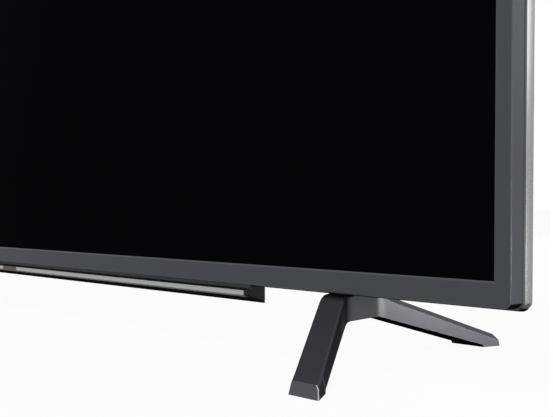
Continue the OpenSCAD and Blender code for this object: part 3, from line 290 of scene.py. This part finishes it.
lead_red = drawn("lead_red", (0.3, 0.03, 0.03), 0.5, (0.05, 1.0, 1.0), metallic=0.0)
ribbon_blue = drawn("ribbon_blue", (0.35, 0.48, 0.62), 0.4, (0.02, 1.0, 1.0), metallic=0.0)
speaker_plastic = moulded("speaker_plastic", (0.014, 0.014, 0.014), 0.6)
speaker_metal = drawn("speaker_metal", (0.3, 0.3, 0.31), 0.4, (1.0, 1.0, 0.1))
cone_fibre = moulded(
    "cone_fibre", (0.02, 0.02, 0.02), 0.85, grain=500.0, depth=0.0001, gloss=0.2
)
key_satin = moulded("key_satin", (0.012, 0.012, 0.012), 0.45)
key_print = moulded("key_print", (0.3, 0.3, 0.3), 0.5)


# Piece tools

MERGE = 2e-6

# Angles between faces, in degrees
FLAT_ANGLE = 0.4
SMOOTH_ANGLE = 32.0
EDGE_ANGLE = 30.0
BLUNT_ANGLE = 24.0


def merged_copy(node):
    """A copy of a CAD node's mesh with its doubles merged and its flat faces joined."""
    bm = bmesh.new()
    bm.from_mesh(nodes[node].data)
    bmesh.ops.remove_doubles(bm, verts=bm.verts, dist=MERGE)
    bmesh.ops.dissolve_limit(
        bm, angle_limit=math.radians(FLAT_ANGLE), verts=bm.verts, edges=bm.edges
    )
    return bm


def round_edges(bm, width, segments, pick, angle=EDGE_ANGLE):
    """Rounds the sharp edges that pick(middle, edge) accepts and gives back the new faces."""
    sharp = [
        e
        for e in bm.edges
        if len(e.link_faces) == 2
        and e.calc_face_angle(0.0) > math.radians(angle)
        and pick((e.verts[0].co + e.verts[1].co) / 2, e)
    ]
    made = bmesh.ops.bevel(
        bm, geom=sharp, offset=width, offset_type="OFFSET", affect="EDGES",
        segments=segments, profile=0.5, material=-1, clamp_overlap=True,
    )
    return made["faces"]


def anywhere(middle, edge):
    return True


def near_outline(point, low, high, band):
    """Whether a point lies in a band along the sides, head and floor of a box."""
    return (
        abs(point.x) > high.x - band
        or point.z < low.z + band
        or point.z > high.z - band
    )


def put(name, bm, finishes, stands_for=(), body=CABINET):
    """Turns a bmesh into a named piece that rides on a body."""
    mesh = bpy.data.meshes.new(name)
    bm.to_mesh(mesh)
    bm.free()
    for finish in finishes:
        mesh.materials.append(finish.material)
    mesh.polygons.foreach_set("use_smooth", [True] * len(mesh.polygons))
    mesh.set_sharp_from_angle(angle=math.radians(SMOOTH_ANGLE))
    piece = bpy.data.objects.new(name, mesh)
    bpy.context.scene.collection.objects.link(piece)
    flat = piece.modifiers.new("flat_faces", "WEIGHTED_NORMAL")
    flat.keep_sharp = True
    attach(piece, body)
    if stands_for:
        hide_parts(*stands_for)


def softened(name, node, width, finish):
    """A piece in the shape of its node, with all edges rounded alike."""
    bm = merged_copy(node)
    round_edges(bm, width, 2, anywhere)
    put(name, bm, [finish], [node])


# Camera, floor and light

EYE = Vector((0.8278, -0.4764, 0.1159))
EYE_TILT = math.radians(88.6155)
EYE_TURN = math.radians(42.666)
LENS, SENSOR = 50.0, 36.0
FRAME_SHIFT = 0.032
NEAREST = 0.01
SKY_LIGHT = 0.45
FLOOR_REACH = 30.0
FLOOR_CLOUD = 1.5
FLOOR_GLOW = 0.935
FLOOR_LIT = (0.3, 0.3, 0.3, 1.0)
FLOOR_PALE = (0.9, 0.9, 0.9, 1.0)
FLOOR_PALEST = (0.95, 0.95, 0.95, 1.0)

camera_data = bpy.data.cameras.new("camera")
camera_data.lens = LENS
camera_data.sensor_width = SENSOR
camera_data.shift_y = FRAME_SHIFT
camera_data.clip_start = NEAREST
camera = bpy.data.objects.new("camera", camera_data)
camera.location = EYE
camera.rotation_euler = (EYE_TILT, 0.0, EYE_TURN)
bpy.context.scene.collection.objects.link(camera)
bpy.context.scene.camera = camera
bpy.context.scene.view_settings.view_transform = "Standard"


def lamp(name, place, target, size, power, colour=(1.0, 1.0, 1.0)):
    data = bpy.data.lights.new(name, "AREA")
    data.shape = "RECTANGLE"
    data.size, data.size_y = size
    data.energy = power
    data.color = colour
    made = bpy.data.objects.new(name, data)
    made.location = place
    made.rotation_euler = (Vector(target) - Vector(place)).to_track_quat("-Z", "Y").to_euler()
    bpy.context.scene.collection.objects.link(made)
    return made


lamp("key_front_right", (1.7, -2.2, 0.6), (0.4, 0.0, 0.25), size=(1.2, 0.8), power=34.0)
lamp("top_soft", (0.0, -0.8, 2.6), (0.0, 0.0, 0.3), size=(2.4, 1.6), power=16.0)
lamp("panel_right", (2.4, 0.5, 0.4), (0.5, 0.05, 0.05), size=(1.2, 0.6), power=3.5)
lamp("panel_top_right", (2.45, 1.68, 1.0), (0.62, 0.0, 0.2), size=(0.8, 0.9), power=13.0)
card_right = lamp(
    "card_right", (1.4, 0.34, 0.03), (0.53, 0.1, 0.03),
    size=(0.42, 0.055), power=4.9, colour=(1.0, 0.985, 0.94),
)
card_right.visible_diffuse = False
lamp("back_left", (-1.2, 2.2, 1.3), (0.0, 0.0, 0.35), size=(2.0, 1.4), power=14.0)

world = bpy.data.worlds.new("studio")
bpy.context.scene.world = world
world.use_nodes = True
sky = NodeTree(world.node_tree)
sky_light = world.node_tree.nodes["Background"]
sky.join(sky_light.inputs["Color"], WHITE)
sky.join(sky_light.inputs["Strength"], SKY_LIGHT)
sky_shown = sky.node("ShaderNodeBackground", inputs={"Color": WHITE, "Strength": 1.0})
sky.show("World Output", sky.seen(), Wire(sky, sky_light.outputs[0]), sky_shown)

floor_bm = bmesh.new()
bmesh.ops.create_grid(floor_bm, x_segments=1, y_segments=1, size=FLOOR_REACH)
floor_mesh = bpy.data.meshes.new("floor")
floor_bm.to_mesh(floor_mesh)
floor_bm.free()
floor_white = Finish("floor_white", {"Roughness": 0.9, "Specular IOR Level": 0.0})
floor_seen = floor_white.seen()
floor_pale = floor_white.mix(floor_white.noise(FLOOR_CLOUD), FLOOR_PALE, FLOOR_PALEST)
floor_white.paint("Base Color", floor_white.mix(floor_seen, FLOOR_LIT, floor_pale))
floor_glow = floor_white.node("ShaderNodeEmission", inputs={"Color": WHITE})
floor_lit = Wire(floor_white, floor_white.shader.outputs[0])
floor_white.show("Material Output", floor_seen * FLOOR_GLOW, floor_lit, floor_glow)
floor_mesh.materials.append(floor_white.material)
floor = bpy.data.objects.new("floor", floor_mesh)
bpy.context.scene.collection.objects.link(floor)

# Front

bezel_low, bezel_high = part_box("front_bezel")
shell_low, shell_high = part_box("rear_shell")
FRONT = bezel_low.y
BEZEL_BAND = 7 * MM
BEZEL_FLARE = 1.1 * MM
BEZEL_LEAN = 1.1 / 14.0
BEZEL_ROUND = 4.6 * MM
BEZEL_TURNS = (15, 30, 45, 60, 75)
OPENING_ROUND = 0.25 * MM
SCREEN_ROUND = 0.2 * MM
CUT_SNAP = 1e-7

# Depths behind the bezel's front face, in millimetres
ON_FACE = 0.05
FACE_SKIN = 0.01
FRONT_ROUND = 0.7
OPENING_FRONT, OPENING_BACK = 0.9, 2.0

# Limits of a face's normal: along z for the bezel's underside in painted shade, along y for its
# front edge with its painted highlight
BEZEL_DOWN = -0.35
EDGE_FRONT, EDGE_SIDE = -0.97, -0.1


def behind(point):
    """Distance of a point behind the bezel's front face, in millimetres."""
    return (point.y - FRONT) / MM


def on_front_outline(middle, edge):
    outside = near_outline(middle, bezel_low, bezel_high, BEZEL_BAND)
    return behind(middle) < ON_FACE and outside


def on_opening(middle, edge):
    """The edges of the opening for the screen, and what is left sharp on the front face."""
    return OPENING_FRONT < behind(middle) < OPENING_BACK or behind(middle) < ON_FACE


def trim_corners(bm):
    """Rounds the bezel's four outer corners with flat cuts that follow the lean of its walls."""
    reach_x = bezel_high.x - BEZEL_FLARE - BEZEL_ROUND
    foot_z = bezel_low.z + BEZEL_FLARE + BEZEL_ROUND
    head_z = bezel_high.z - BEZEL_FLARE - BEZEL_ROUND
    for side in (-1, 1):
        for centre_z, up in ((foot_z, -1), (head_z, 1)):
            centre = Vector((side * reach_x, FRONT, centre_z))
            for turn in BEZEL_TURNS:
                angle = math.radians(turn)
                out = Vector((side * math.cos(angle), 0.0, up * math.sin(angle)))
                cut = bmesh.ops.bisect_plane(
                    bm, geom=bm.verts[:] + bm.edges[:] + bm.faces[:], dist=CUT_SNAP,
                    plane_co=centre + out * BEZEL_ROUND,
                    plane_no=out - Vector((0.0, BEZEL_LEAN, 0.0)),
                    clear_outer=True,
                )
                rim = [g for g in cut["geom_cut"] if isinstance(g, bmesh.types.BMEdge)]
                bmesh.ops.holes_fill(bm, edges=rim, sides=0)


def bezel_part(face):
    """0 for the satin faces, 1 for the front edge with its painted highlight, 2 for the underside
    in painted shade.
    """
    d = behind(face.calc_center_median())
    if face.normal.z < BEZEL_DOWN and d > FRONT_ROUND:
        return 2
    turned = EDGE_FRONT < face.normal.y < EDGE_SIDE
    return 1 if FACE_SKIN < d < FRONT_ROUND and turned else 0


bm = merged_copy("front_bezel")
trim_corners(bm)
round_edges(bm, FRONT_ROUND * MM, 4, on_front_outline, BLUNT_ANGLE)
bm.normal_update()
for face in bm.faces:
    face.material_index = bezel_part(face)
round_edges(bm, OPENING_ROUND, 2, on_opening)
put("bezel", bm, [bezel_satin, bezel_edge_highlight, underside_shade], ["front_bezel"])
softened("screen", "lcd_panel", SCREEN_ROUND, screen_black)

# Rim and back

RIM_ROUND = 9.0 * MM
RIM_CORNER = 5.6 * MM
RIM_MIDDLE = (shell_low.z + shell_high.z) / 2
RIM_BAND = 9.5 * MM
LIP_ROUND, LIP_ANGLE = 0.4 * MM, 40.0
OUTLINE_SLACK = 0.07 * MM
CORNER_SLACK = 0.02 * MM
CORNER_MIDDLE = 0.1 * MM
RIM_SNAP = 1e-6
CREASE_BAND = 40 * MM
CREASE_LENGTH = 100 * MM
CREASE_ROUND, CREASE_ANGLE = 2.5 * MM, 4.0

# Depths behind the bezel's front face, and moves of the rim, in millimetres
RIM_FRONT = 14.8
RIM_LIP = 16.7
RIM_CUTS = (15.7, RIM_LIP, 18.0, 19.3, 20.7, 22.2, 23.8)
RIM_BACK = 25.6
RIM_END = RIM_BACK + 0.1
CREASE_FRONT = RIM_BACK + 0.5
RIM_FLARE = 1.1
RIM_DROP = 1.5
FLARE_CURVE = 1.8

# Shares of downward() from which the rim has its underside and the turn to it, both in painted
# shade
UNDERSIDE = 0.75
TURN = 0.3


def flare(d, out):
    """How far the rim's outer face moves at a depth, in millimetres. Its floor hangs lower."""
    front = max(0.0, 1.0 - (d - RIM_FRONT) / (RIM_BACK - RIM_FRONT))
    drop = Vector((0.0, 0.0, RIM_DROP * max(0.0, -out.z)))
    return -RIM_FLARE * front**FLARE_CURVE * out - drop


def past_corner(point):
    """How far a point lies past the middle of the nearest corner's round, across and up."""
    return (
        abs(point.x) - (shell_high.x - RIM_ROUND),
        abs(point.z - RIM_MIDDLE) - (shell_high.z - RIM_MIDDLE - RIM_ROUND),
    )


def outward(point):
    """Direction out of the rim's outline, or None for a point that isn't on it."""
    x, z = (max(part, 0.0) for part in past_corner(point))
    if abs(math.hypot(x, z) - RIM_ROUND) > OUTLINE_SLACK:
        return None
    up = math.copysign(z, point.z - RIM_MIDDLE)
    return Vector((math.copysign(x, point.x), 0.0, up)).normalized()


def tighten_corners(bm):
    """Gives the shell's four outer corners a tighter round."""
    grow = RIM_ROUND - RIM_CORNER
    for vert in bm.verts:
        height = vert.co.z - RIM_MIDDLE
        x, z = past_corner(vert.co)
        reach = math.hypot(x, z)
        if min(x, z) < -CORNER_SLACK or reach < CORNER_MIDDLE:
            continue
        share = min(1.0, reach / RIM_ROUND) ** 2
        vert.co.x += math.copysign(grow * share * (1 - x / reach), vert.co.x)
        vert.co.z += math.copysign(grow * share * (1 - z / reach), height)


def flare_rim(bm):
    """Cuts the rim's outer face across its depth and lets it flare in a soft curve."""
    for d in RIM_CUTS:
        outer = [f for f in bm.faces if all(outward(v.co) for v in f.verts)]
        edges = {e for f in outer for e in f.edges}
        verts = {v for f in outer for v in f.verts}
        bmesh.ops.bisect_plane(
            bm, geom=outer + list(edges) + list(verts), dist=RIM_SNAP,
            plane_co=(0.0, FRONT + d * MM, 0.0), plane_no=(0.0, 1.0, 0.0),
        )
    moves = []
    for vert in bm.verts:
        out = outward(vert.co)
        if out and behind(vert.co) < RIM_END:
            moves.append((vert, flare(behind(vert.co), out) * MM))
    tighten_corners(bm)
    for vert, move in moves:
        vert.co += move


def on_rim(middle, edge):
    """The front edges of the rim."""
    at_front = abs(behind(middle) - RIM_FRONT) < ON_FACE
    return near_outline(middle, shell_low, shell_high, RIM_BAND) and at_front


def downward(point):
    """How far the rim's outline faces down at a point, from 0 at its sides to 1 at its floor."""
    x = max(abs(point.x) - (shell_high.x - RIM_CORNER), 0.0)
    z = max(shell_low.z + RIM_CORNER - point.z, 0.0)
    return z / max(math.hypot(x, z), 1e-9)


def shell_part(face):
    """0 for the bright rim, 1 for the back, 2 for the front lip in painted shade, 3 for the
    underside in painted shade.

    4 is the turn from the rim to its underside, a darker silver as painted shade.
    """
    middle = face.calc_center_median()
    d = behind(middle)
    if d > RIM_END:
        return 1
    if downward(middle) > UNDERSIDE:
        return 3
    # Painted shade: the rim's front lip takes the bezel's dark satin instead of the silver,
    # standing in for the dark gap between bezel and rim
    if d < RIM_LIP:
        return 2
    return 4 if downward(middle) > TURN else 0


def on_back_crease(middle, edge):
    """The long outer creases of the shell's back."""
    outside = near_outline(middle, shell_low, shell_high, CREASE_BAND)
    long = edge.calc_length() > CREASE_LENGTH
    return outside and behind(middle) > CREASE_FRONT and long and edge.is_convex


bm = merged_copy("rear_shell")
round_edges(bm, CREASE_ROUND, 4, on_back_crease, CREASE_ANGLE)
flare_rim(bm)
round_edges(bm, LIP_ROUND, 3, on_rim, LIP_ANGLE)
for face in bm.faces:
    face.material_index = shell_part(face)
put(
    "shell", bm, [rim_silver, shell_dark, bezel_satin, underside_shade, rim_turn_shade],
    ["rear_shell"],
)

# Bar under the bezel

BAR_ROUND, PLATE_ROUND, STRIP_ROUND, WINDOW_ROUND = 0.3 * MM, 0.25 * MM, 0.15 * MM, 0.12 * MM
WALL_DEPTH = 8
FORWARD = -0.9


def bar_part(face):
    """1 for the wall of the bar that faces forward behind its nose, lighter as painted light
    against its shade, 0 for the rest.
    """
    return int(face.normal.y < FORWARD and behind(face.calc_center_median()) > WALL_DEPTH)


bm = merged_copy("trim_bar")
round_edges(bm, BAR_ROUND, 2, anywhere)
for face in bm.faces:
    face.material_index = bar_part(face)
put("bar", bm, [bar_dark, bar_wall], ["trim_bar"])
softened("bar_plate", "bar_bottom_plate", PLATE_ROUND, bar_black)
softened("strip", "trim_strip", STRIP_ROUND, strip_silver)
softened("receiver_window", "ir_lens", WINDOW_ROUND, ir_window)

# Feet

# Foot sizes are in millimetres, for the right foot. Its y runs from the front toe to the rear toe.
HUB_OUT, HUB_IN, HUB_TOP, HUB_BOTTOM = 483.0, 460.0, 51.4, 31.4
HUB_SCREWS = ((471.5, -0.7), (471.5, 8.3))
SOLE = 0.2
PAD_WALL, PAD_POCKET = 2.0, 1.0
BORE_REACH, BORE_EDGE, BORE_RADIUS, BORE_DEPTH = 2.5, 0.15, 4.3, 11.0
BORE_CUTS, BORE_STRETCH = 5, 2.6

# The legs leave the hub's lines at bends: slope, place and softness of each.
FRONT_OUTER, REAR_OUTER = (0.564, -25.9, 6.0), (0.4492, 15.3, 5.0)
FRONT_INNER, REAR_INNER = (0.524, -23.4, 5.0), (0.3797, 15.3, 5.0)
FRONT_UPPER, REAR_UPPER = (0.534, -34.95, 7.0), (0.3945, 14.3, 4.0)
FRONT_LOWER, REAR_LOWER = (0.351, -24.8, 2.4), (0.322, 15.2, 2.4)
STEP, STEP_START, STEP_RUN = 1.2, -14.0, 8.0
LEAN, LEAN_START = 0.029, -20.0
HUB_CHAMFER, FRONT_GAIN, REAR_GAIN = 1.0, 0.6, 3.5
FRONT_GROWS, REAR_GROWS, GAIN_RUN = -26.0, 14.0, 12.0
INNER_CHAMFER = 1.2
CHAMFER_SLANT = 1.1

# Rings of the toes: place, underside, place of the top where it leans, cut of the outer corner.
FRONT_TOE = ((-123.7, SOLE, -115.6, 1.0), (-106.8, SOLE), (-105.8, 2.8))
REAR_TOE = ((105.7, 2.3), (106.7, SOLE), (121.7, SOLE, 120.0))
ALONG = (
    -80.0, -55.0, -48.0, -44.0, -40.0, -37.0, -34.5, -32.5, -30.5, -28.5, -26.5, -24.5, -22.0,
    -20.0, -18.0, -15.0, -5.2, 3.8, 10.5, 12.8, 14.3, 15.8, 17.5, 19.5, 22.0, 26.0, 50.0, 80.0,
)

# Soft edges and finishes of the casting, with painted shade on its underside and painted
# highlights on its edges
TOE_ROUND, TOE_START = 0.55, -112
TOE_FORWARD, TOE_OUTWARD = -0.4, 0.3
CAST_ROUND, CAST_ANGLE = 0.7, 12.0
CAST_CLEAR = 0.7
NARROW_FACE = 4.0
STRAIGHT_DOWN, UNDERCUT, FOOT_DOWN = -0.9, -0.25, -0.2
FRONT_LEG, REAR_LEG = -34, 22
# Limits of the outer chamfer that takes the painted highlight
EDGE_INSET, EDGE_FALL = 0.1, 0.9
TOE_HIGHLIGHT = 3


def ramp(t, soft):
    """0 below zero and t above it, with the corner softened."""
    if abs(t) < soft:
        return (t + soft) ** 2 / (4 * soft)
    return max(t, 0.0)


def smooth(t):
    """Eases from 0 to 1."""
    t = min(1.0, max(0.0, t))
    return t * t * (3 - 2 * t)


def bent(y, front, rear):
    """How far the lines of the legs have left the hub's line."""
    slope, place, soft = front
    rear_slope, rear_place, rear_soft = rear
    return slope * ramp(place - y, soft) + rear_slope * ramp(y - rear_place, rear_soft)


def outer_x(y):
    return HUB_OUT + bent(y, FRONT_OUTER, REAR_OUTER)


def inner_x(y):
    return HUB_IN + bent(y, FRONT_INNER, REAR_INNER)


def top_z(y):
    """Upper face of the foot. It steps down a little in front of the cabinet."""
    step = STEP * smooth((STEP_START - y) / STEP_RUN)
    return HUB_TOP - step - bent(y, FRONT_UPPER, REAR_UPPER)


def bottom_z(y):
    return HUB_BOTTOM - bent(y, FRONT_LOWER, REAR_LOWER)


def chamfer(y):
    """The upper chamfer is wide on the rear leg."""
    leg = smooth(max((FRONT_GROWS - y) / GAIN_RUN, (y - REAR_GROWS) / GAIN_RUN))
    return HUB_CHAMFER + (FRONT_GAIN if y < 0 else REAR_GAIN) * leg


def lean(y):
    """How far the outer side of the front leg leans in at its top."""
    return LEAN * max(0.0, LEAN_START - y)


def section(y, low=None, top_y=None, cut=0.0):
    """Six corners of the foot across its length. An end that leans has its top at top_y.

    The outer corner of a cut end stands back.
    """
    low = bottom_z(y) if low is None else low
    top_y = y if top_y is None else top_y
    high = top_z(top_y)
    outer = chamfer(top_y)
    tilt = lean(top_y)
    inner = min(outer, INNER_CHAMFER) if y < 0 else outer
    ring = []
    for reach, inset, z in (
        (inner_x, 0.0, low),
        (outer_x, -cut, low),
        (outer_x, -tilt, high - outer),
        (outer_x, -tilt - CHAMFER_SLANT * outer, high),
        (inner_x, CHAMFER_SLANT * inner, high),
        (inner_x, 0.0, high - inner),
    ):
        at = y + (top_y - y) * (z - low) / (high - low)
        ring.append((reach(at) + inset, at, z))
    return ring


def drawn_out(rings):
    """A closed casting drawn out from its first ring through the others."""
    bm = bmesh.new()
    face = bm.faces.new([bm.verts.new(spot) for spot in rings[0]])
    for ring in rings[1:]:
        grown = bmesh.ops.extrude_discrete_faces(bm, faces=[face])
        face = grown["faces"][0]
        for vert, spot in zip(face.verts, ring):
            vert.co = spot
    open_edges = [e for e in bm.edges if e.is_boundary]
    bmesh.ops.holes_fill(bm, edges=open_edges, sides=len(rings[0]))
    bmesh.ops.recalc_face_normals(bm, faces=bm.faces)
    return bm


def bore(bm, centre_x, centre_y):
    """Counterbore for a foot screw in the hub's lower face."""
    mouth = Vector((centre_x, centre_y, HUB_BOTTOM))
    face = next(
        f for f in bm.faces
        if f.normal.z < STRAIGHT_DOWN and (f.calc_center_median() - mouth).length < BORE_REACH
    )
    bmesh.ops.inset_individual(bm, faces=[face], thickness=BORE_EDGE)
    bmesh.ops.subdivide_edges(bm, edges=list(face.edges), cuts=BORE_CUTS)
    for vert in face.verts:
        away = Vector((vert.co.x - centre_x, (vert.co.y - centre_y) * BORE_STRETCH, 0.0))
        away = away.normalized() * BORE_RADIUS
        vert.co.x, vert.co.y = centre_x + away.x, centre_y + away.y
    grown = bmesh.ops.extrude_discrete_faces(bm, faces=[face])
    bmesh.ops.translate(bm, verts=grown["faces"][0].verts, vec=(0.0, 0.0, BORE_DEPTH))


def sink_soles(bm):
    """Pockets for the pads under both toes."""
    soles = [
        f for f in bm.faces
        if f.normal.z < STRAIGHT_DOWN and abs(f.calc_center_median().z - SOLE) < ON_FACE
    ]
    bmesh.ops.inset_individual(bm, faces=soles, thickness=PAD_WALL)
    for sole in soles:
        pocket = bmesh.ops.extrude_discrete_faces(bm, faces=[sole])["faces"][0]
        bmesh.ops.translate(bm, verts=pocket.verts, vec=(0.0, 0.0, PAD_POCKET))


def on_toe(middle, edge):
    """The outer edge of the toe's front face."""
    one, other = sorted((f.normal for f in edge.link_faces), key=lambda n: n.x)
    return middle.y < TOE_START and one.y < TOE_FORWARD and other.x > TOE_OUTWARD


def above(edge):
    return all(f.normal.z > UNDERCUT for f in edge.link_faces)


def foot_part(face):
    """0 for paint, 1 for the underside in painted shade, 2 for the outer chamfer of the legs with
    a painted highlight.
    """
    middle = face.calc_center_median()
    if face.normal.z < FOOT_DOWN:
        return 1
    inset = outer_x(middle.y) - lean(middle.y) - middle.x
    fall = top_z(middle.y) - middle.z
    size = chamfer(middle.y)
    leg = middle.y < FRONT_LEG or middle.y > REAR_LEG
    slanted = EDGE_INSET < inset < CHAMFER_SLANT * size and fall < EDGE_FALL * size
    return 2 if leg and slanted else 0


def foot(name, mirror):
    """Casting of a foot, drawn out ring by ring from the front toe to the rear toe."""
    rings = [section(*ring) for ring in FRONT_TOE]
    rings += [section(y) for y in ALONG]
    rings += [section(*ring) for ring in REAR_TOE]
    bm = drawn_out(rings)
    for centre_x, centre_y in HUB_SCREWS:
        bore(bm, centre_x, centre_y)
    sink_soles(bm)
    # The toe's rounded outer edge takes the painted highlight
    for face in round_edges(bm, TOE_ROUND, 3, on_toe, BLUNT_ANGLE):
        face.material_index = TOE_HIGHLIGHT
    wide = [f for f in bm.faces if f.normal.z > UNDERCUT and f.calc_area() > NARROW_FACE]
    outside = {v for f in wide for v in f.verts}
    round_edges(
        bm, CAST_ROUND, 3,
        lambda m, e: m.z > CAST_CLEAR and outside.issuperset(e.verts) and above(e),
        CAST_ANGLE,
    )
    bm.normal_update()
    for face in bm.faces:
        if face.material_index != TOE_HIGHLIGHT:
            face.material_index = foot_part(face)
    if mirror:
        bmesh.ops.scale(bm, vec=(-1.0, 1.0, 1.0), verts=bm.verts)
        bmesh.ops.reverse_faces(bm, faces=bm.faces)
    bmesh.ops.scale(bm, vec=(MM, MM, MM), verts=bm.verts)
    finishes = [foot_paint, foot_under_shade, foot_edge_highlight, toe_edge_highlight]
    put(name + "_casting", bm, finishes, [name])


foot("right_foot", False)
foot("left_foot", True)

# Back cover

COVER_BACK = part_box("electronics_cover")[1].y
COVER_CLEAR = 1.0 * MM
COVER_LENGTH = 30 * MM
COVER_ROUND, COVER_ANGLE = 3.0 * MM, 15.0
VENT_ROUND = 0.4 * MM


def on_cover_outline(middle, edge):
    """The long outer edges of the cover, clear of the shell."""
    clear = middle.y > shell_high.y + COVER_CLEAR
    return clear and edge.calc_length() > COVER_LENGTH and edge.is_convex


bm = merged_copy("electronics_cover")
round_edges(bm, COVER_ROUND, 4, on_cover_outline, COVER_ANGLE)
round_edges(bm, VENT_ROUND, 2, lambda m, e: m.y > COVER_BACK - ON_FACE * MM)
put("cover", bm, [cover_grain], ["electronics_cover"])

# Keys on the back

KEY_ROUND = 0.5 * MM
MARK_DEPTH = 0.24 * MM
MARK_RISE = 8.0

# Marks are raised bars (across, up, width, height) in millimetres from the middle of the key.
BAR = [(0.0, 0.0, 0.8, 3.6)]
PLUS = [(0.0, 0.0, 4.0, 0.8), (0.0, 1.2, 0.8, 1.6), (0.0, -1.2, 0.8, 1.6)]
MINUS = [(0.0, 0.0, 4.0, 0.8)]
SQUARE = [
    (0.0, 1.4, 3.6, 0.7), (0.0, -1.4, 3.6, 0.7), (-1.45, 0.0, 0.7, 2.1), (1.45, 0.0, 0.7, 2.1)
]
ARROW = [(0.0, 1.2, 0.8, 0.8), (0.0, 0.4, 2.2, 0.8), (0.0, -0.4, 3.6, 0.8)]


def raised(marks, up, turn=1):
    """The bars of a mark moved up the key, upside down for turn -1."""
    return [(across, up + turn * rise, width, height) for across, rise, width, height in marks]


def key(name, node, body, marks):
    """A key with soft edges and raised marks on its face."""
    low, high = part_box(node)
    bm = merged_copy(node)
    round_edges(bm, KEY_ROUND, 3, lambda m, e: m.y > high.y - ON_FACE * MM)
    for across, rise, width, height in marks:
        bar = bmesh.ops.create_cube(bm, size=1.0)["verts"]
        bmesh.ops.scale(bm, vec=(width * MM, MARK_DEPTH, height * MM), verts=bar)
        middle = ((low.x + high.x) / 2 - across * MM, high.y, (low.z + high.z) / 2 + rise * MM)
        bmesh.ops.translate(bm, vec=middle, verts=bar)
        for face in {f for v in bar for f in v.link_faces}:
            face.material_index = 1
    put(name, bm, [key_satin, key_print], [node], body)


key("power_cap", "power_button", "power_key", BAR)
key("source_cap", "source_button", "source_key", SQUARE)
key(
    "volume_cap", "volume_rocker", "volume_key",
    raised(PLUS, MARK_RISE) + raised(MINUS, -MARK_RISE),
)
key(
    "channel_cap", "channel_rocker", "channel_key",
    raised(ARROW, MARK_RISE) + raised(ARROW, -MARK_RISE, -1),
)

# Nodes that keep their solid and get a finish

KEPT = {
    "panel_foam_tape": foam_black, "middle_frame": frame_black, "optical_films": film_white,
    "diffuser_plate": film_white, "diffuser_pins": film_white, "led_lenses": lens_clear,
    "led_bars": film_white, "reflector_sheet": film_white, "backlight_chassis": zinc_sheet,
    "source_boards": board_green, "panel_flexes": flex_film, "vesa_standoffs": turned_steel,
    "cabinet_screws": screw_black, "main_board": board_green, "heat_sink": sink_aluminium,
    "hdmi_sockets": socket_metal, "usb_sockets": socket_metal, "lan_socket": socket_metal,
    "optical_socket": socket_black, "headphone_socket": socket_black,
    "aerial_socket": socket_metal, "wifi_module": socket_metal, "tcon_board": board_green,
    "power_board": board_tan, "transformer": winding_tape, "capacitors": can_sleeve,
    "mains_inlet": socket_black, "board_spacers": turned_steel, "ribbon_cable": ribbon_blue,
    "power_harness": lead_red, "speaker_lead_left": lead_black, "speaker_lead_right": lead_black,
    "speaker_box_left": speaker_plastic, "speaker_box_right": speaker_plastic,
    "speaker_driver_left": speaker_metal, "speaker_driver_right": speaker_metal,
    "speaker_cone_left": cone_fibre, "speaker_cone_right": cone_fibre, "ir_board": board_green,
    "key_panel": key_satin, "key_board": board_green,
    "foot_pads": pad_rubber, "foot_screws": screw_black, "stand_brackets": zinc_sheet,
}
for node, finish in KEPT.items():
    nodes[node].data.materials.clear()
    nodes[node].data.materials.append(finish.material)
